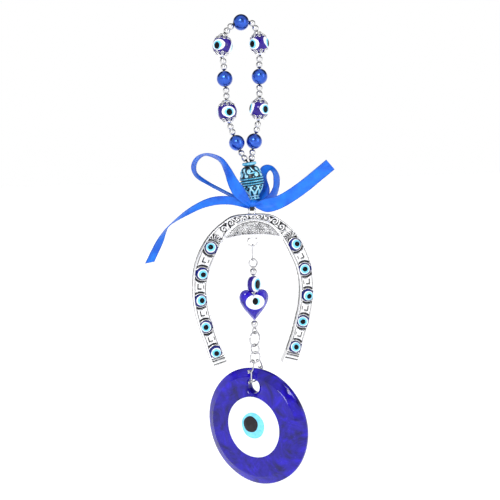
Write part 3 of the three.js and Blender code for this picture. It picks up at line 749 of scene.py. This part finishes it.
CLOTH_HALF = 0.11  # half the ribbon's thickness, in millimetres
CLOTH_WIDTH = 6.35
KNOT_TURN = 18.0  # the ribbon's length round its knot
KNOT_AT = np.array([0.4, -2.0, -83.0])


def ribbon_strip(stations, rows, columns=18):
    """A thin strip with a crown across it, soft creases near the knot and a heat-cut end."""
    one, other = spline(np.array(stations)[:, :3], rows), spline(np.array(stations)[:, 3:], rows)
    across, line = other - one, (one + other) / 2
    lift = unit_rows(np.cross(across, np.gradient(line, axis=0)))[:, None]
    v = np.linspace(0, 1, columns)
    run = run_along(line)
    crease = 0.5 * np.exp(-run / 6.0)[:, None] * np.sin(v * math.pi * 3.0 + 0.6)
    drift = 0.10 * np.sin(run / 3.1)[:, None] * np.cos(v * 5 + 1)
    rise = crease + 0.22 * np.sin(math.pi * v) + drift
    middle = one[:, None] + across[:, None] * v[:, None] + lift * rise[..., None]
    thick = np.full((columns, 1), CLOTH_HALF)
    thick[[0, -1]] *= 1.5
    loop = np.concatenate([middle + lift * thick, (middle - lift * thick)[:, ::-1]], axis=1)
    width = CLOTH_WIDTH * (np.concatenate([v, v[::-1]]) - 0.5)
    cloth = xyz(np.pad(run, 1, mode="edge")[:, None], width, 0)
    return grid(closed_ends(loop) * MM, wrap_v=True), cloth.reshape(-1, 3), run[-1]


def knot_wrap():
    """The short turn of ribbon that crosses the knot, pinched into folds."""
    t, w = np.meshgrid(whole_turn(64), np.linspace(-1, 1, 15), indexing="ij")
    pinch = 1 - 0.10 * np.cos(3 * math.pi * w) * (0.6 + 0.4 * np.cos(t))
    top = KNOT_AT + xyz(w * 2.5 + 0.25 * np.sin(2 * t),
                        3.6 * np.cos(t) * pinch - 0.25 * w**2,
                        1.75 * np.sin(t) * pinch * (1 - 0.12 * w**2) - 0.25 * w)
    low = top + 0.25 * (KNOT_AT - top) * np.array([0, 0.22, 0.4])
    loop = np.concatenate([top, low[:, ::-1]], axis=1) * MM
    cloth = xyz(t * 3, w * 3.1, 0)
    cloth = np.concatenate([cloth, cloth[:, ::-1]], axis=1)
    return grid(loop, wrap_u=True, wrap_v=True), cloth.reshape(-1, 3), KNOT_TURN


def ribbon():
    """The bow. A sheet's flat sides start at 10 mm, so its area carries the ribbon's true width."""
    strips = [ribbon_strip(LEFT_LOOP, 190), ribbon_strip(LEFT_TAIL, 150),
              ribbon_strip(RIGHT_LOOP, 150), ribbon_strip(RIGHT_TAIL, 110), knot_wrap()]
    parts, cloths, lengths = zip(*strips)
    obj = joined("ribbon_bow", parts, [SATIN], "beaded_loop", name="satin_ribbon")
    cloth = obj.data.attributes.new("cloth", "FLOAT_VECTOR", "POINT")
    cloth.data.foreach_set("vector", np.concatenate(cloths).astype(np.float32).reshape(-1))


ribbon()


# ---- the horseshoe
# Outer and inner edge from the crown down to the right foot, in millimetres, from the crown's top.
SHOE_PAIRS = [
    [0, 0, 0, -3.2], [8.9, -0.6, 6.5, -4.5], [14.3, -3.4, 10.6, -7.3], [19.5, -7.6, 13.9, -11.4],
    [23.5, -12.2, 16.3, -15.4], [26.8, -17.9, 18.9, -20.9], [29.2, -24.4, 21.3, -26.4],
    [30.4, -31.9, 22.8, -32.9], [30.5, -39.9, 23.05, -39.7], [29.6, -47.9, 22.2, -46.7],
    [27.6, -55.9, 20.4, -54.2], [25.2, -63.4, 18.3, -61.5], [23.0, -70.9, 15.6, -68.7],
    [20.9, -76.6, 13.0, -74.5],
]
SHOE_TOP = np.array([0, 0, -88.1])
SHOE_FRONT, SHOE_BACK, SHOE_FLOOR = -2.25, 2.0, -0.85
CROWN_GAP = 20  # beads that are further apart than this have the crown between them


def bead_stations(centre_line, run):
    """How far along the middle line each eye bead is, and where, from the left foot to the right."""
    out = []
    for side in ("left", "right"):
        for i in range(1, 6):
            at = centre(f"shoe_eye_{side}_{i}")[[0, 2]] / MM
            gap = np.linalg.norm(centre_line - at, axis=1)
            out.append((run[gap.argmin()], at))
    return sorted(out, key=lambda item: item[0])


PLAIN_BACK = 0.74  # how clean the casting's unpolished back is, from 0 to 1


def soften(field, steps):
    """The field blurred along both ways, to find what lies close to a raised edge."""
    for _ in range(steps):
        wide = np.pad(field, 1, mode="edge")
        field = (wide[:-2, 1:-1] + wide[2:, 1:-1] + wide[1:-1, :-2] + wide[1:-1, 2:] + field) / 5
    return field


def patina_and_painted_shade(height):
    """Bright where the casting is open or rubbed; black next to raised edges, partly blackened patina in the
    hollows and partly painted shade.
    """
    # Darkening beside raised edges: blackened patina together with painted shade, made thick to stand for
    # the shadows in the recesses.
    crevice_patina_and_shade = np.clip(soften(height, 14) - height - 0.03, 0, 1)
    return 0.78 + 0.35 * height - 3.2 * crevice_patina_and_shade


def leg_relief(s, t, x, z, stations, half):
    """The cast relief, 0 at its recessed floor and 1 at its rims: bead rings, cut blocks and grains."""
    edge = half - 0.62
    away = np.min([np.hypot(x - bx, z - bz) for _, (bx, bz) in stations], axis=0)
    height = highest(ridge(np.abs(t) - edge, 0.62),
                     0.72 * ridge(away - 3.3, 0.28) * (np.abs(t) < edge - 0.3))
    for (a, _), (b, _) in zip(stations[:-1], stations[1:]):
        if b - a > CROWN_GAP:
            continue
        along = s - (a + b) / 2
        wide = np.clip((edge - 0.55 - np.abs(t)) / 0.25, 0, 1)
        block = 0.92 * np.clip((away - 4.3) / 0.25, 0, 1) * wide * (np.abs(along) < (b - a) / 2)
        groove = near_line(t, along * np.sign(a + b), [[1.1, -1.2], [1.1, 1.0], [-0.5, 1.0]])
        notch = near_line(t, along, [[-1.7, -0.8], [-1.7, 0.8]])
        mark = highest(ridge(groove, 0.3), 0.7 * ridge(notch, 0.22))
        height = highest(height, block - 0.75 * mark * (block > 0.3))
    grains = (0.5 + 0.5 * np.cos(s * 7.5)) ** 0.5
    return highest(height, 0.8 * grains * ridge(t + edge - 0.95, 0.3) * (away > 3.5))


def crown_relief(s, t, half, first, last):
    """Scrolls and leaves over the crown, with a ribbed fan at each end of it."""
    edge = half - 0.5
    height = np.zeros(s.shape)
    grown = t * 2.2 / half
    for k in range(-4, 5):
        way = 1 if k % 2 else -1
        at = k * (3.3 + 0.16 * abs(k))
        line = scroll((at, 0.1 * way), 1.55, 1.15, 0.4 + way, way, 2.4)
        leaf = [[at + 1.2, 1.9 * way], [at + 2.1, 1.1 * way], [at + 2.6, -0.2 * way]]
        height = highest(height, 0.95 * ridge(near_line(s, grown, line), 0.42),
                         0.8 * ridge(near_line(s, grown, leaf), 0.42))
    height *= np.abs(t) < edge
    for end, way in ((first, 1), (last, -1)):
        u = (s - end) * way - 3.9
        angle, reach = np.arctan2(t, u + 0.6), np.hypot(u + 0.6, t)
        ribs = 0.45 + 0.45 * np.cos(angle * 15)
        fan = ribs * (u > 0) * np.clip((3.7 - reach) / 0.3, 0, 1) * (np.abs(t) < edge)
        height = np.where((u > -0.3) & (reach < 3.9), fan, height)
    return height


def band_net(rows=760, columns=64):
    """The horseshoe band's front as a net, with its relief, and its arc length and offsets."""
    right = np.array(SHOE_PAIRS, float)
    left = right[:0:-1] * np.array([-1, 1, -1, 1])
    fine = spline(np.vstack([left, right]), rows)
    outer, inner = fine[:, :2] + SHOE_TOP[[0, 2]], fine[:, 2:] + SHOE_TOP[[0, 2]]
    middle = (outer + inner) / 2
    run = run_along(middle)
    run -= run[-1] / 2
    v = np.linspace(0, 1, columns)
    flat = inner[:, None] + (outer - inner)[:, None] * v[None, :, None]
    width = np.linalg.norm(outer - inner, axis=1)
    t = (v - 0.5) * width[:, None]
    s, half = np.broadcast_to(run[:, None], t.shape), width[:, None] / 2
    stations = bead_stations(middle, run)
    first, last = stations[4][0], stations[5][0]
    legs = leg_relief(s, t, flat[..., 0], flat[..., 1], stations, half)
    crown = crown_relief(s, t, half, first, last)
    on_crown = (s > first + 3.6) & (s < last - 3.6)
    height = np.where(on_crown, np.maximum(crown, ridge(np.abs(t) - half + 0.5, 0.5)), legs)
    step = np.abs(s) - (run[-1] - 6.2)
    slots = ridge(step - 0.6, 0.3) + ridge(step - 1.7, 0.3) + 0.8 * ridge(step - 3.5, 0.28)
    steps = 0.95 - 0.75 * slots * (np.abs(t) < half - 0.7)
    return flat, np.where(step > 0, steps, height), outer, inner, middle


def casting(front, behind, front_shade):
    """A relief front with its plain sides and back, closed at both ends."""
    plain = np.full(behind.shape[:2], PLAIN_BACK)
    shade = np.pad(np.concatenate([front_shade, plain], axis=1), ((1, 1), (0, 0)), mode="edge")
    return grid(closed_ends(np.concatenate([front, behind], axis=1)) * MM, wrap_v=True, shade=shade)


def horseshoe_band():
    flat, height, outer, inner, middle = band_net()
    depth = SHOE_FLOOR + (SHOE_FRONT - SHOE_FLOOR) * height
    for k, drop in enumerate((0.55, 0.3, 0.1)):
        for column in (k, -1 - k):
            depth[:, column] = np.maximum(depth[:, column], SHOE_FRONT + drop)
    pull = 0.35 * unit_rows(middle - outer)
    corners = [(1.0, 0.0), (SHOE_BACK - 0.3, 0.0), (SHOE_BACK, 1.0)]
    sides = [(*(outer + k * pull).T, y) for y, k in corners]
    sides += [(*(inner - k * pull).T, y) for y, k in corners[::-1]]
    behind = np.stack([xyz(x, y, z) for x, z, y in sides], axis=1)
    return casting(xyz(flat[..., 0], depth, flat[..., 1]), behind, np.maximum(patina_and_painted_shade(height), 0))


def crescent_plate():
    """The stippled panel under the crown, with a raised lower border."""
    upper = spline(mirrored([[0, -3.0], [6.5, -4.3], [10.6, -7.0], [14.9, -12.6]]), 300)
    lower = spline(mirrored([[0, -11.95], [6, -12.1], [11, -12.9], [15.2, -13.6]]), 300)
    v = np.linspace(0, 1, 90)
    flat = lower[:, None] + (upper - lower)[:, None] * v[:, None] + SHOE_TOP[[0, 2]]
    x, z = flat[..., 0], flat[..., 1]
    wide = np.linalg.norm(upper - lower, axis=1)[:, None]
    from_low, from_high = v * wide, (1 - v) * wide
    border = np.clip((2.0 - from_low) / 0.25, 0, 1) * np.clip((from_low + 0.15) / 0.4, 0, 1)
    dots = np.zeros(x.shape)
    for i in range(-18, 19):
        for k in range(12):
            a = i * 0.86 + (k % 2) * 0.43 + RNG.uniform(-0.12, 0.12)
            b = SHOE_TOP[2] - 3.6 - k * 0.78 + RNG.uniform(-0.12, 0.12)
            near = (np.abs(x - a) < 0.5) & (np.abs(z - b) < 0.5)
            dots[near] = np.maximum(dots[near], 0.5 * ridge(np.hypot(x[near] - a, z[near] - b), 0.36))
    dots = dots * ((from_low > 2.2) & (from_high > 0.9))
    height = highest(0.85 * border, 0.9 * ridge(from_high - 0.2, 0.6), ridge(from_low - 1.9, 0.3), dots)
    depth = SHOE_FLOOR - 0.15 + (SHOE_FRONT - SHOE_FLOOR + 0.1) * height
    behind = xyz(x[:, ::-30], SHOE_BACK - 0.1, z[:, ::-30])
    return casting(xyz(x, depth, z), behind, patina_and_painted_shade(height))


def ring_path(radius, normal, at, count=48, start=0.0, sweep=2 * math.pi, closed=True):
    turn = frame_of(normal)
    a = np.linspace(start, start + sweep, count, endpoint=not closed)
    return np.asarray(at) + radius * (np.cos(a)[:, None] * turn[:, 0] + np.sin(a)[:, None] * turn[:, 1])


def horseshoe():
    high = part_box("horseshoe")[1]
    eyelet = np.array([0, 0, high[2] - 2.2 * MM])
    half = [[1.15, -0.3], [1.3, -0.6], [1.65, -0.68], [2.0, -0.6], [2.2, -0.3]]
    ring = half + [[r, -z] for r, z in half[::-1]]
    rings = [placed(lathe(spline(ring, 40, closed=True) * MM, 48), eyelet, frame_of(FRONT)),
             tube(ring_path(2.3 * MM, FRONT, [0, 0, -102.2 * MM]), 0.55 * MM, 14, closed=True)]
    for part in rings:
        part[3] = np.full(len(part[0]), PLAIN_BACK)
    joined("horseshoe", [horseshoe_band(), crescent_plate(), *rings], [CAST])


SHOE_EYE_R = 2.98
SHOE_EYES = {  # turn from straight ahead, and rise, in degrees
    "left_1": (-10, 14), "left_2": (6, -4), "left_3": (12, 6), "left_4": (-8, 2), "left_5": (4, -8),
    "right_1": (14, 10), "right_2": (-6, 6), "right_3": (8, -6), "right_4": (-12, 4), "right_5": (2, 8),
}


def shoe_eyes():
    """Resin domes seated in the casting, each with an eye that looks its own way."""
    layers = ((58, 1, 0.02), (48, 4, 0.05), (42, 2, 0.08), (26, 3, 0.11))
    dome = circle(np.linspace(1.5, -0.3, 30), radius=SHOE_EYE_R)
    profile = np.vstack([[1e-6, SHOE_EYE_R], dome, [2.4, -1.8], [1e-6, -1.83]])
    for name, (turn, rise) in SHOE_EYES.items():
        node = "shoe_eye_" + name
        low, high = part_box(node)
        at = np.array([(low[0] + high[0]) / 2, low[1] + 3 * MM, (low[2] + high[2]) / 2])
        way = on_sphere(math.radians(90 - rise), math.radians(turn - 90), 1)
        parts = [placed(lathe(profile * MM, 48, closed=False), at, frame_of(FRONT))]
        parts += [eye_patch(way, SHOE_EYE_R * MM, spread, mat, lift * MM, at)
                  for spread, mat, lift in layers]
        joined(node, parts, [RESIN, *EYE_PAINTS[1:], PALE], "horseshoe")


horseshoe()
shoe_eyes()


# ---- chain, pin and pendant
def chain_link(node, body):
    """A link or ring in its CAD node's own plane, as round wire with a closed joint in it."""
    mid, axes, extent = principal(node)
    wire = extent[2] / 2
    long_half, wide_half = extent[0] / 2 - wire, extent[1] / 2 - wire
    a = np.linspace(0.03, 2 * math.pi - 0.03, 72)
    x, y = circle(a, radius=wide_half).T
    y += np.sign(y) * (long_half - wide_half)
    path = mid + x[:, None] * axes[1] + y[:, None] * axes[0]
    swell = 1 + sum(0.06 * np.exp(-((a - joint) / 0.1) ** 2) for joint in (0.1, 6.18))
    joined(node, [tube(path, wire * swell, 14)], [WIRE], body)


def eye_pin():
    """One length of wire: a loop at its head, a straight shank through the beads, a loop at its foot."""
    low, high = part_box("eye_pin")
    wire, top_r, low_r = 0.4 * MM, 2.0 * MM, 1.4 * MM
    top, foot = high[2] - top_r - wire, low[2] + low_r + wire
    turn = math.radians(-52)
    head = ring_path(top_r, FRONT, [0, 0, top], 40, math.radians(-78), math.radians(348), closed=False)
    shank = xyz(0, 0, np.linspace(top - top_r, foot + low_r, 24))
    tail = ring_path(low_r, [math.sin(turn), -math.cos(turn), 0], [0, 0, foot], 36,
                     math.radians(102), math.radians(-340), closed=False)
    parts = [tube(head, wire, 12), tube(shank, wire, 12), tube(tail, wire, 12)]
    joined("eye_pin", parts, [WIRE])


def pin_balls():
    for name in ("pin_ball_top", "pin_ball_bottom"):
        profile = bored_profile(1.85 * MM, 0.56 * MM, steps=28, lip=0.1 * MM)
        joined(name, [placed(lathe(profile, 48), centre(name))], [SILVER])


def flat_bead():
    """A pressed lens with an eye on each face."""
    at, turn = centre("flat_eye_bead"), math.radians(48)
    way = np.array([math.sin(turn), -math.cos(turn), 0])
    outline = spline([[4.12, 0], [4.02, 0.75], [3.5, 1.55], [2.4, 2.02], [1.2, 2.2], [0.01, 2.24]], 26)
    profile = np.vstack([outline[::-1], outline[1:] * [1, -1]])
    parts = [placed(lathe(profile * MM, 64, closed=False), at, frame_of(way))]
    for radius, mat, low, high in ((3.75, 1, 1.05, 2.32), (3.2, 2, 1.5, 2.42), (2.5, 3, 1.8, 2.52)):
        dome = [[radius, low], [radius * 0.97, high - 0.28], [radius * 0.8, high - 0.1],
                [radius * 0.4, high], [0.01, high + 0.02]]
        layer = lathe(spline(dome, 14)[::-1] * MM, 44, mat=mat, closed=False)
        parts += [placed(layer, at, frame_of(way * side)) for side in (1, -1)]
    joined("flat_eye_bead", parts, EYE_PAINTS)


def heart_outline(count):
    """Half of the heart from its cleft round its lobe to its tip, then the other half, as x and z."""
    right = [[0, 5.0], [0.9, 5.9], [2.2, 7.0], [4.0, 7.4], [5.8, 6.8], [7.0, 5.2], [7.3, 3.2], [6.7, 0.8],
             [5.2, -1.9], [3.2, -4.4], [1.4, -6.6], [0, -7.9]]
    left = [[-x, z] for x, z in right[-2:0:-1]]
    return spline(np.array(right + left), count, closed=True)


HEART_HALF, HEART_PILLOW = 2.72, 0.62  # half the heart's thickness, and how full its edges are
HEART_CORE = np.array([0, 0.6])


def heart_front(outline, x, z):
    """How far forward the glass lies at a place on the heart."""
    away = outline - HEART_CORE
    heading, edge = np.arctan2(away[:, 1], away[:, 0]), np.linalg.norm(away, axis=1)
    order = np.argsort(heading)
    dx, dz = x - HEART_CORE[0], z - HEART_CORE[1]
    rim = np.interp(np.arctan2(dz, dx), heading[order], edge[order], period=2 * math.pi)
    share = np.clip(np.hypot(dx, dz) / rim, 0, 0.999)
    return HEART_HALF * np.sqrt(1 - share ** (2 / HEART_PILLOW))


def heart():
    """A pillow of glass: the outline drawn in towards its middle as it comes forward."""
    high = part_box("heart_bead")[1]
    at = np.array([0, 0, high[2] - 7.5 * MM])
    outline = heart_outline(150)
    rows = []
    for lean in np.linspace(-1, 1, 41) * math.pi / 2 * 0.998:
        spread = max(math.cos(lean), 1e-3) ** HEART_PILLOW
        x, z = (HEART_CORE + (outline - HEART_CORE) * spread).T
        rows.append(xyz(x, math.sin(lean) * HEART_HALF, z))
    parts = [grid(np.array(rows) * MM, wrap_v=True)]
    for mat, wide, tall, lift, dx, dz in ((1, 4.8, 3.75, 0.06, 0.2, 1.5), (2, 1.8, 2.0, 0.10, 0.8, 1.8),
                                          (3, 1.5, 1.8, 0.15, 0.2, 1.9)):
        rows = []
        for k in (1.0, 0.97, 0.88, 0.7, 0.45, 0.2, 0.01):
            x, z = ([dx, dz] + circle(whole_turn(56)) * [wide * k, tall * k]).T
            up = {1.0: -0.12, 0.97: lift * 0.5}.get(k, lift)
            rows.append(xyz(x, -(heart_front(outline, x, z) + up), z))
        parts.append(grid(np.array(rows) * MM, wrap_v=True, mat=mat))
    joined("heart_bead", [placed(part, at) for part in parts], [HEART, *EYE_PAINTS[1:]])


for ring in ("top_link", "jump_ring_large", "jump_ring_middle", "jump_ring_sling"):
    chain_link(ring, ring)
for link in nodes_named("sling_link_"):
    chain_link(link, "disc_sling")
eye_pin()
pin_balls()
flat_bead()
heart()


# ---- the glass disc
DISC_WAY = np.array([-math.sqrt(0.5), -math.sqrt(0.5), 0.0])
DISC_R, DISC_HALF, DISC_HOLE, HOLE_UP = 29.55, 3.1, 3.8, 20.7


def disc_part(rows, **wraps):
    """Rows in the disc's own millimetres, Z out of its front, set where the disc hangs."""
    turn = frame_of(DISC_WAY, np.cross(UP, DISC_WAY))
    return placed(grid(np.array(rows) * MM, wrap_v=True, **wraps), centre("glass_disc"), turn)


def disc_glass():
    """Poured glass: soft flat faces, a rounded rim with a facet, and a hole with a melted edge."""
    r, half = DISC_R, DISC_HALF
    back_edge = spline([[r - 4.0, -half], [r - 2.4, -half + 0.12], [r - 0.9, -half + 0.85],
                        [r - 0.15, -1.1], [r, 0.1], [r - 0.12, 0.7]], 20)
    facet = spline([[r - 0.3, 0.95], [r - 1.5, 1.65], [r - 2.9, 2.4], [r - 3.9, half - 0.2],
                    [r - 4.1, half - 0.05]], 14)
    a = whole_turn(220)
    uneven = 1 + 0.0025 * np.sin(3 * a + 1) + 0.0015 * np.sin(7 * a)
    hole = circle(a, 0, HOLE_UP, DISC_HOLE)
    rim = circle(a, radius=(r - 4.2) * uneven)

    def face(side, swell):
        """Rings that run from the hole's edge out to the disc's rim."""
        rows = []
        for k in np.linspace(0, 1, 46):
            flat = hole + (rim - hole) * (0.06 + 0.94 * k)
            lift = swell * np.clip(1 - (np.hypot(*flat.T) / r) ** 2, 0, 1) - 0.45 * math.exp(-k * 26)
            rows.append(xyz(*flat.T, side * (half + lift)))
        return rows

    lip = [xyz(*hole.T, depth) for depth in np.linspace(-half + 0.8, half - 0.8, 6)]
    edge = [xyz(*circle(a, radius=out * uneven).T, depth) for out, depth in (*back_edge, *facet)]
    part = disc_part(lip + face(1, 0.12) + edge[::-1] + face(-1, 0.1)[::-1], wrap_u=True)
    joined("glass_disc", [part], [DISC])


def disc_eye():
    """The eye's three layers of glass, each uneven and standing on the one before."""
    layers = [("white", WHITE, 15.45, -0.2, 0.32, 0.0, 0.0, 0.006),
              ("iris", CYAN, 6.8, -0.1, 0.62, 0.0, 0.9, 0.02),
              ("pupil", CHARCOAL, 4.25, 0.3, 0.95, -1.15, 1.5, 0.03)]
    turn = whole_turn(120)
    for name, material, r, foot, top, dx, dz, odd in layers:
        uneven = 1 + odd * np.sin(2 * turn + 0.7) + 0.4 * odd * np.sin(5 * turn)
        edge, rise = min(0.5, r * 0.08), top - foot
        steps = [(r, foot), (r - edge * 0.15, foot + rise * 0.6), (r - edge * 0.6, foot + rise * 0.88),
                 (r - edge * 1.4, top - 0.04)]
        steps += [(r * k, top + 0.04 * (1 - k)) for k in (0.8, 0.6, 0.4, 0.2, 0.005)]
        rows = [xyz(*circle(turn, dx, dz, out * uneven).T, DISC_HALF + depth) for out, depth in steps]
        joined("disc_eye_" + name, [disc_part(rows[::-1])], [material], "glass_disc")


disc_glass()
disc_eye()


# ---- carried-over cord, floor and light
def cord_tie():
    """The cord's end: three turns side by side through the eyelet, with an overhand knot above it."""
    low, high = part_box("cord_tie")
    cord = 0.34 * MM
    depth = high[1] - low[1]
    turn_r = depth / 2 - 0.45 * MM
    middle = np.array([0, 0, low[2] + depth / 2])
    a = whole_turn(48)
    parts = []
    for side in (-1, 0, 1):
        across = side * (0.62 + 0.16 * np.cos(a) ** 2 - 0.1 * np.clip(np.sin(a), 0, 1)) * MM
        ring = circle(a, radius=turn_r * (1 - 0.03 * abs(side)))
        parts.append(tube(middle + xyz(across, *ring.T), cord, 12, closed=True))
    t = whole_turn(90)
    trefoil = xyz(np.sin(t) + 2 * np.sin(2 * t), -0.75 * np.sin(3 * t), np.cos(t) - 2 * np.cos(2 * t))
    at = middle + np.array([0.3 * MM, 0, turn_r - 0.1 * MM])
    parts.append(tube(at + 0.3 * MM * trefoil, cord, 12, closed=True))
    joined("cord_tie", parts, [CORD])


def strung_cord():
    """The cord inside the beads keeps its CAD mesh, smoothed and waxed."""
    mesh = frame["nodes"]["hanging_cord"].data
    mesh.materials.clear()
    mesh.materials.append(CORD)
    for polygon in mesh.polygons:
        polygon.use_smooth = True


cord_tie()
strung_cord()


def stage():
    """A pale floor well under the ornament."""
    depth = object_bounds()[0][2] - 0.02
    n = Nodes("floor_paint")
    paint = n.ramp(n.noise(6, 3), (0.3, (0.86, 0.86, 0.86)), (0.7, (0.90, 0.90, 0.90)))
    n.set(Base_Color=paint, Roughness=0.6, Emission_Color=(1.0, 1.0, 1.0, 1.0), Emission_Strength=0.62)
    mesh = bpy.data.meshes.new("floor")
    corners = [(-6, -6), (6, -6), (6, 6), (-6, 6)]
    mesh.from_pydata([(x, y, depth) for x, y in corners], [], [(0, 1, 2, 3)])
    mesh.materials.append(n.material)
    floor = bpy.data.objects.new("floor", mesh)
    bpy.context.collection.objects.link(floor)
    floor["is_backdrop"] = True


# A direction, and how bright the room is at each cosine of the angle from it.
ROOM_BANDS = [
    ((0.176, 0.979, -0.104), [(-0.15, 1.0), (0.2, 0.05), (0.86, 0.03), (0.90, 1.0)]),
    ((-0.20, -0.88, 0.43), [(0.86, 1.0), (0.93, 0.05), (1.0, 0.03)]),
]
ROOM_UPPER = ((0, 0, 1), [(0.27, 0.0), (0.34, 1.0)])


def room_band(n, place, way, stops):
    """How bright one band makes each direction."""
    cosine = n.new("ShaderNodeVectorMath", {0: place, 1: way}, operation="DOT_PRODUCT").outputs["Value"]
    greys = [((at + 1) / 2, (level, level, level)) for at, level in stops]
    return n.ramp(n.math("MULTIPLY_ADD", cosine, 0.5, 0.5), *greys)


def room():
    """A white room with dark bands high up, for the metal and glass to mirror."""
    world = bpy.data.worlds.new("room")
    bpy.context.scene.world = world
    n = Nodes("room", world)
    place = n.new("ShaderNodeTexCoord").outputs["Generated"]
    behind, before, high_up = [room_band(n, place, *band) for band in (*ROOM_BANDS, ROOM_UPPER)]
    bands = n.mix(1.0, behind, before, "MULTIPLY")
    n.set(Color=n.mix(high_up, (1.0, 1.0, 1.0), bands), Strength=1.0)


def lamp(name, at, size_of, power, target=(0, 0, -0.11)):
    data = bpy.data.lights.new(name, "AREA")
    data.energy = power
    data.shape = "RECTANGLE"
    data.size, data.size_y = size_of
    lamp_object = bpy.data.objects.new(name, data)
    bpy.context.collection.objects.link(lamp_object)
    lamp_object.location = at
    lamp_object.rotation_euler = (Vector(target) - Vector(at)).to_track_quat("-Z", "Y").to_euler()


stage()
room()
lamp("key", (-0.5, -1.1, 0.6), (0.45, 0.45), 8)
lamp("fill", (0.9, -0.8, 0.2), (0.4, 0.7), 2)
bpy.context.scene.view_settings.view_transform = "Standard"
